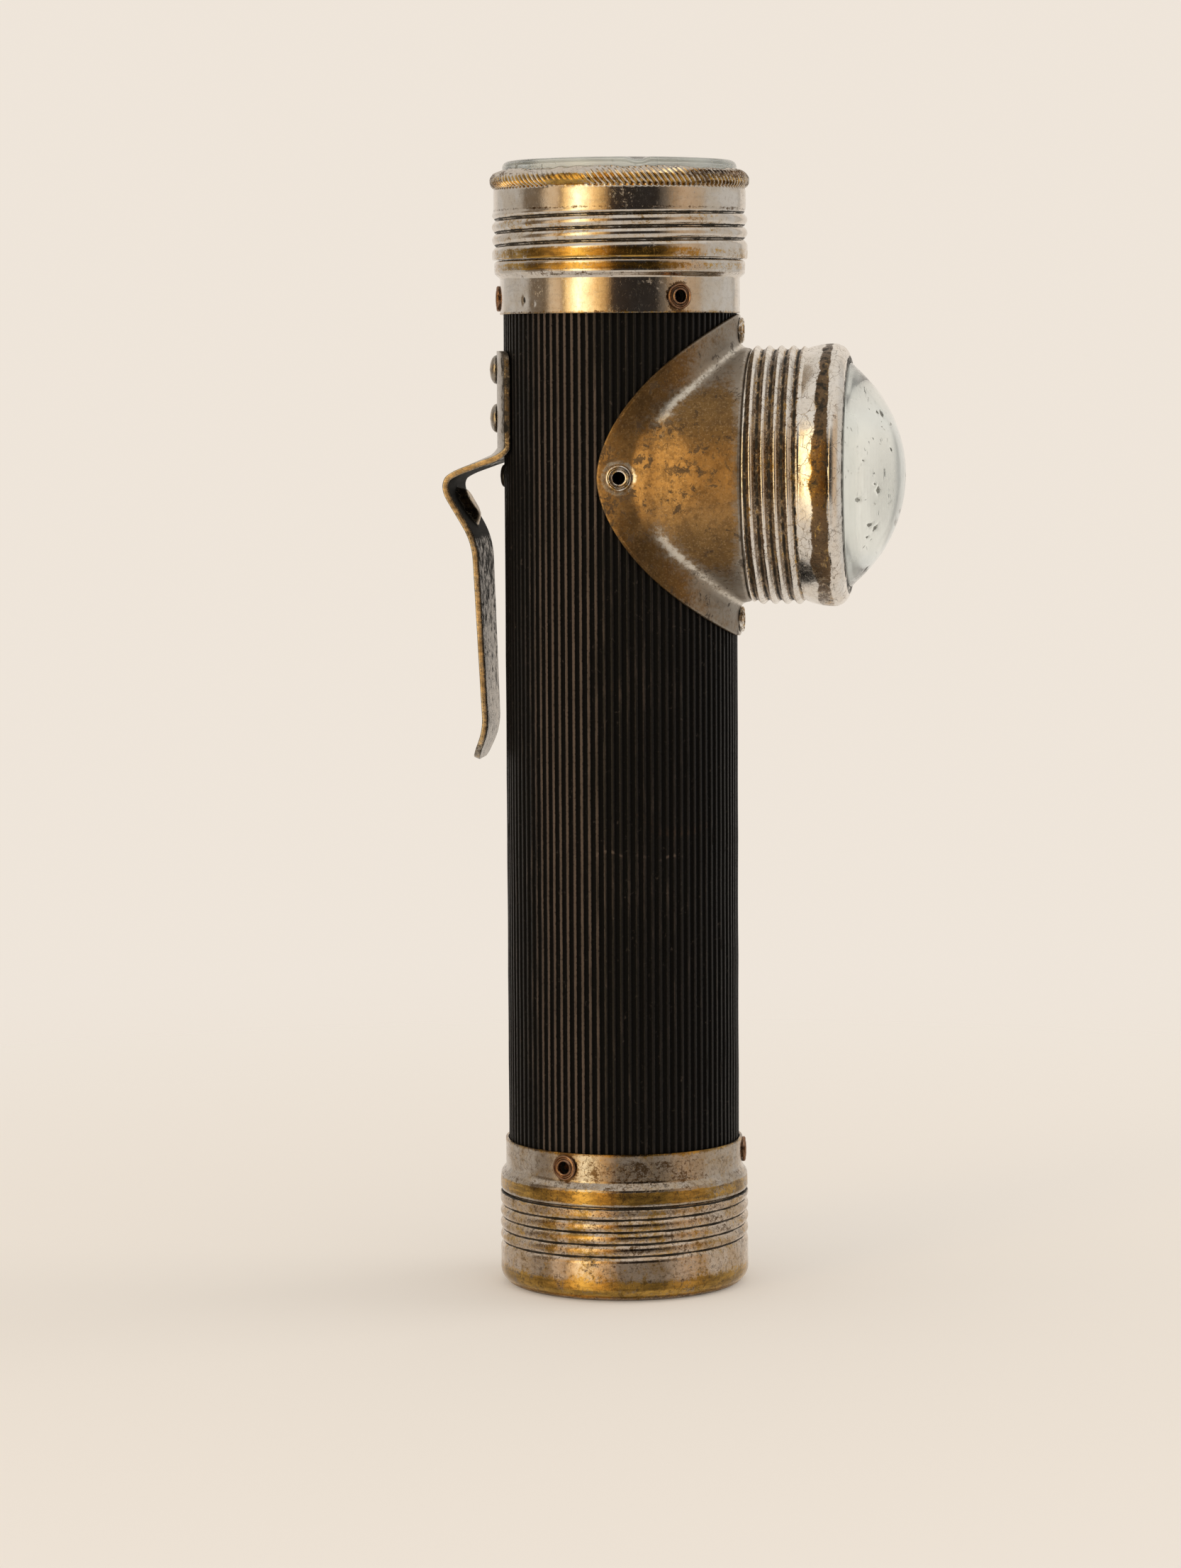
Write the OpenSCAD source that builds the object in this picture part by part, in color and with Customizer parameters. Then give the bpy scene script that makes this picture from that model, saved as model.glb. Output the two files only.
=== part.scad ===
// Two-lens tubular flashlight of the 1910s: a ribbed fibre tube stands on its
// screw cap, one lens looks up out of the top and a larger one out of the side.
// The tube's axis is Z, the side head points along +X and the belt clip along -X.

/* [Tube] */
// Outer diameter of the fibre tube, over its ribs
tube_od = 38; // [32:0.5:46]
// Wall of the fibre tube between its ribs
tube_wall = 1.45; // [1.2:0.05:1.8]
// Length of tube left bare between the two ferrules
tube_show = 135; // [112:1:165]
// Number of ribs round the tube
rib_count = 93; // [60:1:110]
// Height of a rib
rib_h = 0.35; // [0.2:0.05:0.45]

/* [Ferrules and threads] */
// Thickness of the sheet brass
sheet = 0.4; // [0.3:0.05:0.5]
// Thickness of a threaded neck
neck_t = 0.45; // [0.35:0.05:0.55]
// Height of a ferrule, from its free edge to the seam of its cap
ferrule_h = 8.6; // [7.2:0.1:11]
// How far the rolled bead stands out of the ferrule's band
bead_out = 0.9; // [0.5:0.1:1.2]
// Height of the bead on the upper ferrule
top_bead_h = 2.1; // [1.6:0.1:2.6]
// Height of the bead on the lower ferrule
low_bead_h = 2.9; // [1.6:0.1:3.4]
// How far a screwed piece's smooth band stands out of the root of its thread
band_step = 0.45; // [0.3:0.05:0.6]
// Gap at the seam between a screwed piece and what it closes on
seam = 0.2; // [0.15:0.05:0.4]
// Radial clearance between a neck and the piece screwed on it
thread_clear = 0.08; // [0.04:0.02:0.1]

/* [End lens and its bezel] */
// Height of the end bezel above the seam
top_bezel_h = 14.5; // [13.5:0.1:17.5]
// Pitch of the end bezel's rolled thread
top_pitch = 2.1; // [1.6:0.1:2.2]
// Height of the end bezel's thread ridges over their root
top_ridge = 0.7; // [0.3:0.05:0.85]
// How far the milled rim stands out of the smooth band
rim_out = 0.66; // [0.4:0.02:1]
// Thickness of the end lens at its edge
top_lens_edge = 2.3; // [1.8:0.1:3]
// How much of the end lens the rim covers
top_lip = 0.55; // [0.4:0.05:1.4]
// Rise of the end lens's crown over its shoulder
top_crown = 1.15; // [0.8:0.05:2.5]

/* [Side head] */
// How far the collar stands out of the side neck
collar_step = 1; // [0.7:0.1:1.5]
// Distance from the tube to the shoulder where the side bezel begins
collar_out = 2.5; // [2:0.1:4]
// Length of the side bezel
side_bezel_len = 16.7; // [15.6:0.1:20]
// Pitch of the side bezel's rolled thread
side_pitch = 1.96; // [1.6:0.02:2.1]
// Height of the side bezel's thread ridges over their root
side_ridge = 0.92; // [0.5:0.01:1]
// How far the bead at the lens stands out of the root of the thread
side_bead_out = 1.2; // [1:0.05:1.5]
// Thickness of the side lens at its edge
side_lens_edge = 2.7; // [2:0.1:3.4]
// How much of the side lens the bezel covers
side_lip = 1.45; // [1:0.05:2.4]
// Rise of the bull's-eye dome over its bezel
side_dome = 8.1; // [5:0.1:10]
// Width of the saddle's flange above and below the collar
saddle_land = 5.5; // [5:0.1:7]
// Angle that the saddle's flange wraps to each side of the head
saddle_wrap = 94.6; // [88:0.1:98]
// Thickness of the saddle's brass
saddle_t = 0.5; // [0.4:0.05:0.7]

/* [Bottom cap] */
// Height of the cap up to its seam
cap_h = 15.3; // [14:0.1:18.5]
// Length of the lower neck, hidden in the cap
low_neck_len = 10; // [8:0.1:10.5]
// Pitch of the cap's rolled thread
cap_pitch = 2; // [1.6:0.1:2.2]
// Height of the cap's thread ridges over their root
cap_ridge = 0.45; // [0.3:0.05:0.7]
// Radius of the cap's lower edge
cap_round = 2.6; // [1.8:0.1:3.2]
// Height of the coil spring with the cells in place
spring_h = 8; // [6.5:0.1:10]
// Diameter of the spring's wire
spring_wire = 1.1; // [0.8:0.1:1.2]
// Turns of the spring
spring_turns = 4; // [3:1:4]

/* [Eyelets] */
// Diameter over the rolled head of an eyelet
eyelet_od = 3.9; // [3.4:0.1:4.2]
// Bore of an eyelet
eyelet_bore = 1.9; // [1.4:0.1:2]
// How far an eyelet's head stands proud
eyelet_proud = 0.7; // [0.5:0.1:1]

/* [Lamps] */
// Depth of a reflector, which also sets its focus
reflector_deep = 17.4; // [16:0.1:18.4]
// Diameter of a lamp's screw base
lamp_base_d = 9.3; // [8.6:0.1:9.6]
// Diameter of a lamp's glass
lamp_glass_d = 10; // [9:0.1:11]

/* [Belt clip] */
// Thickness of the spring steel
clip_t = 1; // [0.7:0.1:1.2]
// Width of the clip where it is riveted
clip_w = 19; // [14:0.5:22]
// Width of the clip at its tip
clip_tip_w = 13; // [9:0.5:15]
// Height of the riveted plate
clip_plate_h = 15.7; // [14:0.1:18]
// How far the knee stands out of the tube
clip_knee = 9; // [7.5:0.1:10.5]
// How far the leg's outer face stands out of the tube where it is closest
clip_gap = 3.1; // [2.6:0.1:4]
// Length of the leg below the plate
clip_len = 50.5; // [42:0.5:58]

/* [Switch] */
// How far the switch lies below the axis of the side head
switch_drop = 49; // [48:0.5:58]
// Bearing of the switch round the tube from the side head
switch_az = 96; // [94:0.5:98]
// Travel of the slide each way from off
switch_travel = 5; // [4.4:0.1:6]
// Width of the switch plate
switch_w = 15; // [12:0.5:18]

/* [Hidden] */

$fn = 96;
small_fn = 48;

// Clearances: fit is for pieces fixed together, loose for pieces that move, wrap_fit for
// sheet metal laid on the tube's inside or bent round its outside
fit = 0.05;
loose = 0.1;
wrap_fit = 0.12;
// Pieces of one node overlap by this much so that they make one solid
join = 0.01;

// Radii of the tube and of what slips over it
tube_r = tube_od / 2;
bore_r = tube_r - rib_h - tube_wall;
sleeve_r = tube_r + wrap_fit;
band_r = sleeve_r + sheet;
bead_r = band_r + bead_out;
neck_r = sleeve_r + neck_t;
screw_r = neck_r + thread_clear;
root_r = screw_r + sheet;
lens_r = screw_r - fit;
flange_r = lens_r - fit;

// Lens seats: a bezel's lip, the lens under it and the reflector's flange on the neck
lip_t = 1.1;
flange_t = 0.4;
lens_seat = flange_t + loose;
top_neck_len = seam + top_bezel_h - lip_t - loose - top_lens_edge - lens_seat;
side_neck_len = seam + side_bezel_len - lip_t - loose - side_lens_edge - lens_seat;

// Heights, from the base up
low_seam_z = cap_h + seam;
low_edge_z = low_seam_z + ferrule_h;
top_edge_z = low_edge_z + tube_show;
top_seam_z = top_edge_z + ferrule_h;
top_neck_z = top_seam_z + top_neck_len;
top_rim_z = top_seam_z + seam + top_bezel_h;

// Eyelets: bearings of the ferrules' ones from the side head, and their heights
top_eyelet_az = [-54.2, 65.8, 185.8];
low_eyelet_az = [-112.3, 7.7, 127.7];
top_eyelet_up = 2.6;
low_eyelet_down = 2.4;
eyelet_r = eyelet_od / 2;
barrel_r = eyelet_bore / 2 + 0.45;
hole_r = barrel_r + fit;
clinch_r = barrel_r + 0.5;
clinch_t = 0.35;

// Contact strips lie on the tube's bore, and the shoe slides under them
strip_t = 0.35;
strip_w = 2.7;
strip_out_r = bore_r - wrap_fit;
strip_r = strip_out_r - strip_t;

// Side head
collar_r = neck_r + collar_step;
collar_x = tube_r + collar_out;
saddle_r = sleeve_r + saddle_t;
saddle_half = collar_r + saddle_land;
saddle_power = 1.72;
head_z = top_edge_z - loose - saddle_half;
side_neck_x = collar_x + side_neck_len;
side_rim_x = collar_x + seam + side_bezel_len;
tip_eyelet_in = 3.6;
tip_eyelet_az = saddle_wrap - tip_eyelet_in / saddle_r * 180 / PI;
land_eyelet_up = collar_r + 0.52 * saddle_land;
tail_x = saddle_r * cos(tip_eyelet_az) + eyelet_r + 0.35;
tail_len = 3.2;

// Saddle eyelets as [bearing, height over the head's axis, radius they are clinched on]
saddle_spots = [[-tip_eyelet_az, 0, bore_r], [tip_eyelet_az, 0, strip_r],
                [0, land_eyelet_up, bore_r], [0, -land_eyelet_up, bore_r]];

// Reflectors and lamps: a lamp's tip lies tip_drop behind the reflector's vertex
reflector_t = 0.35;
reflector_r = sleeve_r - reflector_t - fit;
sleeve_len = 4.5;
sleeve_out_r = lamp_base_d / 2 + loose + reflector_t;
tip_drop = 10.4;
base_top = 0.5;
top_vertex_z = top_neck_z + flange_t - reflector_deep;
side_vertex_x = side_neck_x + flange_t - reflector_deep;
side_tip_x = side_vertex_x - tip_drop;
lamp_hole_r = reflector_r * sqrt((tube_r - side_vertex_x) / reflector_deep) + 1.2;

// Battery chamber: spring, two cells and the block over them
cap_floor = 0.6;
seat_t = 0.4;
lamp_room = 1.85;
block_floor = 2.6;
block_r = bore_r - 0.5;
block_back = 0.64 * block_r;
block_z = head_z - lamp_base_d / 2 - lamp_room - block_floor - 0.4;
contact_head = 0.4;
contact_head_r = 3.5;
post_r = 1.5;
leaf_t = 0.4;
leaf_w = 5;
arm_z = head_z + lamp_base_d / 2 + lamp_room;
arm_t = 2.6;
arm_w = 10;
arm_reach = 4;
cell_r = bore_r - 1.3;
cell_foot_z = cap_floor + seat_t + spring_h;
cell_len = (block_z - contact_head - cell_foot_z) / 2;
cell_cap_h = 1.6;
cell_cap_r = 3.2;
cell_well = 1.2;
spring_low_r = 10;
spring_high_r = 7;

// Switch, in millimetres round the tube from its own bearing
switch_z = head_z - switch_drop;
plate_t = 0.6;
slot_w = 3.2;
stem_h = 5;
slot_h = stem_h + 2 * switch_travel + 4 * loose;
plate_half = slot_h / 2 + 10;
plate_eyelet_up = slot_h / 2 + 5.8;
shoe_r = strip_r - loose;
shoe_t = 0.4;
shoe_half_h = 5;
shoe_side = 3.1;
feed_at = 3.55;
end_at = 7.4;
side_at = 4.55;
side_strip_w = 1.5;

// Belt clip: the leg bends at the foot of its riveted plate
clip_r = sleeve_r + clip_t;
clip_top_z = head_z + 20.3;
clip_bend_z = clip_top_z - clip_plate_h;
clip_hinge_gap = 0.1;
clip_rivet_down = [3, 10.9];
clip_rivet_r = 2.4;
clip_rivet_rise = 1.3;
block_rivet_r = 1.9;
block_rivet_rise = 0.8;
shank_r = 1.2;

// Points of an arc round c, from angle a0 to a1, in n steps
function arc(c, r, a0, a1, n = 6) =
    [for (i = [0:n]) let (a = a0 + (a1 - a0) * i / n) c + r * [cos(a), sin(a)]];

// Rolled ridges as profile points [radius, height], from one root to the last
function ridges(root, high, start, pitch, count, n = 6) = concat([[root, start]],
    [for (k = [0:count - 1], i = [1:n])
        [root + (i == n ? 0 : high * pow(sin(180 * i / n), 0.7)), start + pitch * (k + i / n)]]);

// Angle of a length measured round the tube on the contact strips
function turn(length) = length / strip_r * 180 / PI;

// Puts a child on the tube: its +Z points out of the tube at bearing az
module out_at(az, r, z) {
    rotate([0, 0, az]) translate([r, 0, z]) rotate([0, 90, 0]) children();
}

// Puts a child drawn along +Z on the axis of the side head
module on_head(x = 0) {
    translate([x, 0, head_z]) rotate([0, 90, 0]) children();
}

// Curved plate between two radii, two bearings and two heights
module arc_plate(r0, r1, az0, az1, z0, z1) {
    rotate([0, 0, az0]) rotate_extrude(angle = az1 - az0)
        translate([r0, z0]) square([r1 - r0, z1 - z0]);
}

// Round hole through the wall at bearing az, cut with everything laid on it
module wall_hole(az, z, r) {
    out_at(az, strip_r - shoe_t, z) cylinder(r = r, h = tube_r - strip_r + 4, $fn = small_fn);
}

// Hollow tubular rivet: its head stands out at radius outer, clinched at radius inner
module eyelet(outer, inner) {
    bore = eyelet_bore / 2;
    round = 0.45;
    seat = sqrt(pow(inner, 2) - pow(clinch_r, 2)) - outer;
    rotate_extrude($fn = small_fn) polygon(concat(
        [[bore, seat - clinch_t], [clinch_r, seat - clinch_t], [clinch_r, seat], [barrel_r, seat],
         [barrel_r, 0], [eyelet_r, 0]],
        arc([eyelet_r - round, eyelet_proud - round], round, 0, 90, 4),
        [[bore + 0.25, eyelet_proud], [bore, eyelet_proud - 0.3]]));
}

// Domed solid rivet drawn out along +Z from its seat, with its shank behind it
module rivet(head_r, rise, shank_len) {
    dome = (pow(head_r, 2) + pow(rise, 2)) / (2 * rise);
    intersection() {
        translate([0, 0, rise - dome]) sphere(r = dome, $fn = small_fn);
        cylinder(r = head_r, h = rise, $fn = small_fn);
    }
    translate([0, 0, -shank_len]) cylinder(r = shank_r, h = shank_len + join, $fn = small_fn);
}

// Cross-section of the tube: flat-topped ribs with sloping flanks
module ribbed_outline() {
    step = 360 / rib_count;
    rib = [[0.02, 0], [0.16, 1], [0.54, 1], [0.68, 0]];
    polygon([for (k = [0:rib_count - 1], p = rib)
        let (r = tube_r - rib_h * (1 - p[1]), a = step * (k + p[0])) r * [cos(a), sin(a)]]);
}

module switch_slot() {
    out_at(switch_az, strip_r, switch_z) linear_extrude(tube_r - strip_r + 4)
        square([slot_h, slot_w], center = true);
}

module switch_eyelet_holes() {
    for (up = [-1, 1]) wall_hole(switch_az, switch_z + up * plate_eyelet_up, hole_r);
}

module saddle_eyelet_holes() {
    for (spot = saddle_spots) wall_hole(spot[0], head_z + spot[1], hole_r);
}

module body_tube() {
    color("#241f1c") difference() {
        translate([0, 0, low_seam_z]) linear_extrude(top_seam_z - low_seam_z) ribbed_outline();
        translate([0, 0, low_seam_z - 1]) cylinder(r = bore_r, h = top_seam_z - low_seam_z + 2);
        on_head() cylinder(r = lamp_hole_r, h = tube_r + 1);
        for (az = top_eyelet_az) wall_hole(az, top_edge_z + top_eyelet_up, hole_r);
        for (az = low_eyelet_az) wall_hole(az, low_edge_z - low_eyelet_down, hole_r);
        for (down = clip_rivet_down) wall_hole(180, clip_top_z - down, shank_r + fit);
        wall_hole(180, head_z, shank_r + fit);
        saddle_eyelet_holes();
        switch_eyelet_holes();
        switch_slot();
    }
}

// Ferrule drawn upwards: free edge at 0, band, bead, seam at ferrule_h, then its neck
module ferrule(bead_h, neck_len, bearings, eyelet_z) {
    taper = 0.4 * bead_h;
    round = 0.4;
    steps = 5;
    difference() {
        rotate_extrude() polygon(concat(
            [[sleeve_r, 0], [band_r, 0]],
            [for (i = [0:steps]) [band_r + bead_out * (1 - cos(180 * i / steps)) / 2,
                                  ferrule_h - bead_h - taper * (1 - i / steps)]],
            arc([bead_r - round, ferrule_h - round], round, 0, 90, 4),
            [[neck_r, ferrule_h], [neck_r, ferrule_h + neck_len],
             [sleeve_r, ferrule_h + neck_len]]));
        for (az = bearings) out_at(az, tube_r - 1, eyelet_z)
            cylinder(r = hole_r, h = 3, $fn = small_fn);
    }
}

module top_ferrule() {
    color("#b9b2a6") translate([0, 0, top_edge_z])
        ferrule(top_bead_h, top_neck_len, top_eyelet_az, top_eyelet_up);
}

module bottom_ferrule() {
    color("#a8977d") translate([0, 0, low_edge_z]) mirror([0, 0, 1])
        ferrule(low_bead_h, low_neck_len, low_eyelet_az, low_eyelet_down);
}

module top_ferrule_eyelets() {
    color("#7a5138") for (az = top_eyelet_az) out_at(az, band_r, top_edge_z + top_eyelet_up)
        eyelet(band_r, bore_r);
}

module bottom_ferrule_eyelets() {
    color("#7a5138") for (az = low_eyelet_az) out_at(az, band_r, low_edge_z - low_eyelet_down)
        eyelet(band_r, bore_r);
}

module saddle_eyelets() {
    color("#8d8272") for (spot = saddle_spots) out_at(spot[0], saddle_r, head_z + spot[1])
        eyelet(saddle_r, spot[2]);
}

module switch_eyelets() {
    seat = sleeve_r + plate_t;
    color("#8d8272") for (up = [-1, 1]) out_at(switch_az, seat, switch_z + up * plate_eyelet_up)
        eyelet(seat, bore_r);
}

// End bezel: foot band, three rolled grooves, smooth band and a rolled rim over the lens
module top_bezel() {
    foot = 1.9;
    groove = 0.7;
    chamfer = 0.2;
    band = root_r + band_step;
    crest = root_r + top_ridge;
    thread_top = foot + groove + 2 * top_pitch;
    eye = lens_r - top_lip;
    roll = band + rim_out - eye;
    roll_z = top_bezel_h - 2.1;
    color("#b8b0a2") translate([0, 0, top_seam_z + seam]) rotate_extrude() polygon(concat(
        [[screw_r, 0], [crest - chamfer, 0], [crest, chamfer], [crest, foot]],
        ridges(root_r, top_ridge, foot + groove, top_pitch, 2),
        [[band - 0.1, thread_top + groove], [band, thread_top + 2 * groove], [band, roll_z - 1.2]],
        [for (a = [-45:15:0]) [eye + roll * cos(a), roll_z + 1.2 * sin(a)]],
        [for (a = [15:15:75]) [eye + roll * cos(a), roll_z + 2.1 * sin(a)]],
        [[eye + chamfer, top_bezel_h], [eye, top_bezel_h - chamfer], [eye, top_bezel_h - lip_t],
         [screw_r, top_bezel_h - lip_t]]));
}

// Glass with a flat back at 0, an edge under the bezel's lip, a shoulder and a crown
module lens_glass(edge_h, eye_r, shoulder, round, rise) {
    crown_r = eye_r - round;
    dome_r = (pow(crown_r, 2) + pow(rise, 2)) / (2 * rise);
    cylinder(r = lens_r, h = edge_h);
    rotate_extrude() polygon(concat([[0, 0], [eye_r, 0]],
        arc([crown_r, shoulder - round], round, 0, 90, 5), [[0, shoulder]]));
    translate([0, 0, shoulder - join]) intersection() {
        translate([0, 0, rise + join - dome_r]) sphere(r = dome_r);
        cylinder(r = crown_r, h = rise + 1);
    }
}

module top_lens() {
    back = top_neck_z + lens_seat;
    color([0.8, 0.86, 0.8, 0.6]) translate([0, 0, back])
        lens_glass(top_lens_edge, lens_r - top_lip - fit, top_rim_z + 0.7 - back, 0.7, top_crown);
}

module side_lens() {
    back = side_neck_x + lens_seat;
    color([0.78, 0.85, 0.78, 0.6]) on_head(back)
        lens_glass(side_lens_edge, lens_r - side_lip - fit, side_rim_x - back, 0.05, side_dome);
}

// Paraboloid dish drawn along +Z from its vertex, with its flange and lamp sleeve
module reflector() {
    steps = 14;
    inner = concat([for (i = [0:steps]) sleeve_out_r + (reflector_r - sleeve_out_r) * i / steps]);
    function dish(r) = reflector_deep * pow(r / reflector_r, 2);
    rotate_extrude() polygon(concat(
        [[sleeve_out_r - reflector_t, -sleeve_len], [sleeve_out_r, -sleeve_len]],
        [for (r = inner) [r + (r == inner[0] ? 0 : reflector_t * 0.8), dish(r) - reflector_t * 0.8]],
        [[reflector_r + reflector_t, reflector_deep - flange_t], [flange_r, reflector_deep - flange_t],
         [flange_r, reflector_deep]],
        [for (i = [steps:-1:0]) [inner[i], dish(inner[i])]],
        [[sleeve_out_r - reflector_t, dish(sleeve_out_r)]]));
}

module top_reflector() {
    color("#c9c9c4") translate([0, 0, top_vertex_z]) reflector();
}

module side_reflector() {
    color("#c9c9c4") on_head(side_vertex_x) reflector();
}

// Screw base of a lamp, from its solder tip up to its glass, with the vertex at 0
module bulb_base() {
    r = lamp_base_d / 2;
    rotate_extrude($fn = small_fn) polygon([[0, -tip_drop], [1.2, -tip_drop],
        [1.7, 0.7 - tip_drop], [2.4, 1.5 - tip_drop], [r - 0.6, 2.2 - tip_drop],
        [r, 2.8 - tip_drop], [r, -base_top - 0.4], [r - 0.5, -base_top], [0, -base_top]]);
}

module bulb_glass() {
    globe_z = lamp_glass_d / 2 + 0.8;
    translate([0, 0, -base_top]) cylinder(r = lamp_base_d / 2 - 0.7, h = globe_z, $fn = small_fn);
    translate([0, 0, globe_z]) sphere(d = lamp_glass_d, $fn = small_fn);
}

module top_bulb_glass() {
    color([0.9, 0.92, 0.88, 0.5]) translate([0, 0, top_vertex_z]) bulb_glass();
}

module top_bulb_base() {
    color("#b08d45") translate([0, 0, top_vertex_z]) bulb_base();
}

module side_bulb_glass() {
    color([0.9, 0.92, 0.88, 0.5]) on_head(side_vertex_x) bulb_glass();
}

module side_bulb_base() {
    color("#b08d45") on_head(side_vertex_x) bulb_base();
}

// The flange's outline seen from the side; its edge is a superellipse laid round the tube
module saddle_outline() {
    steps = 44;
    polygon(concat(
        [for (i = [0:steps]) let (up = sin(-90 + 180 * i / steps),
            share = pow(max(0, 1 - pow(abs(up), saddle_power)), 1 / saddle_power))
            [saddle_r * cos(saddle_wrap * share), saddle_half * up]],
        [[tube_od, saddle_half], [tube_od, -saddle_half]]));
}

// The collar's profile along the head: a tail that rises out of the flange, then the neck
module collar_profile(inset) {
    start = tail_x + inset;
    low = saddle_r - 1 - inset;
    high = collar_r - inset;
    round = 0.5;
    steps = 6;
    polygon(concat([[0, start]],
        [for (i = [0:steps]) [low + (high - low) * (1 - cos(180 * i / steps)) / 2,
                              start + tail_len * i / steps]],
        arc([high - round, collar_x - round - inset], round, 0, 90, 4),
        [[neck_r - inset, collar_x - inset], [neck_r - inset, side_neck_x + 2 * inset],
         [0, side_neck_x + 2 * inset]]));
}

// One pressing: a flange curved round the tube that flows into the collar of the side head
module side_saddle() {
    color("#a9803f") difference() {
        union() {
            translate([0, 0, head_z]) intersection() {
                cylinder(r = saddle_r, h = 2 * saddle_half, center = true);
                rotate([90, 0, 0]) linear_extrude(2 * tube_od, center = true) saddle_outline();
            }
            on_head() rotate_extrude() collar_profile(0);
        }
        on_head() rotate_extrude() collar_profile(neck_t);
        translate([0, 0, head_z]) cylinder(r = sleeve_r, h = 3 * saddle_half, center = true);
        saddle_eyelet_holes();
    }
}

// Side bezel drawn along +Z: four rolled ridges, a band, a bead and a round lip
module side_bezel() {
    start = 0.3;
    thread_top = start + 4 * side_pitch;
    band = root_r + band_step;
    bead = root_r + side_bead_out;
    eye = lens_r - side_lip;
    lip = 3.5;
    shoulder = side_bezel_len - lip;
    steps = 8;
    color("#b59a63") on_head(collar_x + seam) rotate_extrude() polygon(concat(
        [[screw_r, 0], [root_r, 0]],
        ridges(root_r, side_ridge, start, side_pitch, 4),
        [[band, thread_top + 0.3], [band + 0.35, shoulder - 0.5], [bead - 0.12, shoulder - 0.3]],
        [for (i = [0:steps]) [eye + (bead - eye) * (i == steps ? 0 : pow(cos(90 * i / steps), 0.75)),
                              shoulder + lip * pow(sin(90 * i / steps), 0.85)]],
        [[eye, side_bezel_len - lip_t], [screw_r, side_bezel_len - lip_t]]));
}

// Fibre block over the cells: a floor, a back wall on the tube and an arm for the post
module lamp_block() {
    tall = arm_z + arm_t - block_z;
    color("#6b3b2a") difference() {
        translate([0, 0, block_z]) intersection() {
            cylinder(r = block_r, h = tall);
            union() {
                translate([-block_r, -block_r, 0]) cube([2 * block_r, 2 * block_r, block_floor]);
                translate([-block_r, -block_r, 0]) cube([block_r - block_back, 2 * block_r, tall]);
                translate([-block_r, -arm_w / 2, tall - arm_t])
                    cube([block_r + arm_reach, arm_w, arm_t]);
            }
        }
        translate([0, 0, block_z - 1]) cylinder(r = post_r + fit, h = tall + 2, $fn = small_fn);
        translate([-tube_r, 0, head_z]) rotate([0, 90, 0])
            cylinder(r = shank_r + fit, h = tube_r - block_back + 1, $fn = small_fn);
    }
}

module block_rivet() {
    color("#1c1a19") out_at(180, tube_r, head_z)
        rivet(block_rivet_r, block_rivet_rise, tube_r - block_back - 0.5);
}

// Centre post: a head over the cells and a stem up to the end lamp's tip
module centre_contact() {
    head_foot_z = block_z - contact_head;
    color("#b08d45") {
        translate([0, 0, head_foot_z]) cylinder(r = contact_head_r, h = contact_head, $fn = small_fn);
        translate([0, 0, head_foot_z])
            cylinder(r = post_r, h = top_vertex_z - tip_drop - head_foot_z, $fn = small_fn);
    }
}

// Brass leaf from the foot of the post up to the side lamp's tip
module side_contact() {
    foot_z = block_z + block_floor;
    color("#c39a4c") difference() {
        union() {
            translate([-2 * post_r, -leaf_w / 2, foot_z])
                cube([side_tip_x + 2 * post_r, leaf_w, leaf_t]);
            translate([side_tip_x - leaf_t, -leaf_w / 2, foot_z])
                cube([leaf_t, leaf_w, head_z + leaf_w / 2 - foot_z]);
        }
        translate([0, 0, foot_z - 1]) cylinder(r = post_r + fit, h = 3, $fn = small_fn);
    }
}

// Riveted plate of the clip, bent to the tube
module clip_plate() {
    half = asin(clip_w / 2 / clip_r);
    color("#c4bba6") difference() {
        arc_plate(sleeve_r, clip_r, 180 - half, 180 + half,
                  clip_bend_z + clip_hinge_gap, clip_top_z);
        for (down = clip_rivet_down) wall_hole(180, clip_top_z - down, shank_r + fit);
    }
}

module clip_rivets() {
    color("#b7ad98") for (down = clip_rivet_down) out_at(180, clip_r, clip_top_z - down)
        rivet(clip_rivet_r, clip_rivet_rise, clip_r - bore_r);
}

// Points of a rounded corner at q on the way from p to r, starting size before it
function corner(p, q, r, size, n = 5) =
    let (a = q + size * (p - q) / norm(p - q), b = q + size * (r - q) / norm(r - q))
    [for (i = [0:n]) let (t = i / n) pow(1 - t, 2) * a + 2 * t * (1 - t) * q + t * t * b];

// The leg's outer face from the bend down, as [distance from the tube's axis, height]
clip_path = let (knee_round = 4.4,
    top = [clip_r, clip_bend_z], bend = top + [0.6, -1],
    knee = [tube_r + clip_knee + 0.35 * knee_round, clip_bend_z - 4.8],
    low = [tube_r + clip_gap + 1.3, clip_bend_z - 15.2],
    close = [tube_r + clip_gap, clip_bend_z - clip_len + 4.6],
    tip = [tube_r + clip_gap + 1.9, clip_bend_z - clip_len])
    concat([top], corner(top, bend, knee, 0.8, 3), corner(bend, knee, low, knee_round, 7),
           [for (i = [1:4]) knee + (low - knee) * (0.36 + 0.08 * i)], corner(knee, low, close, 3),
           [for (i = [1:4]) low + (close - low) * (0.1 + 0.2 * i)],
           corner(low, close, tip, 2.2), [tip]);

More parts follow.
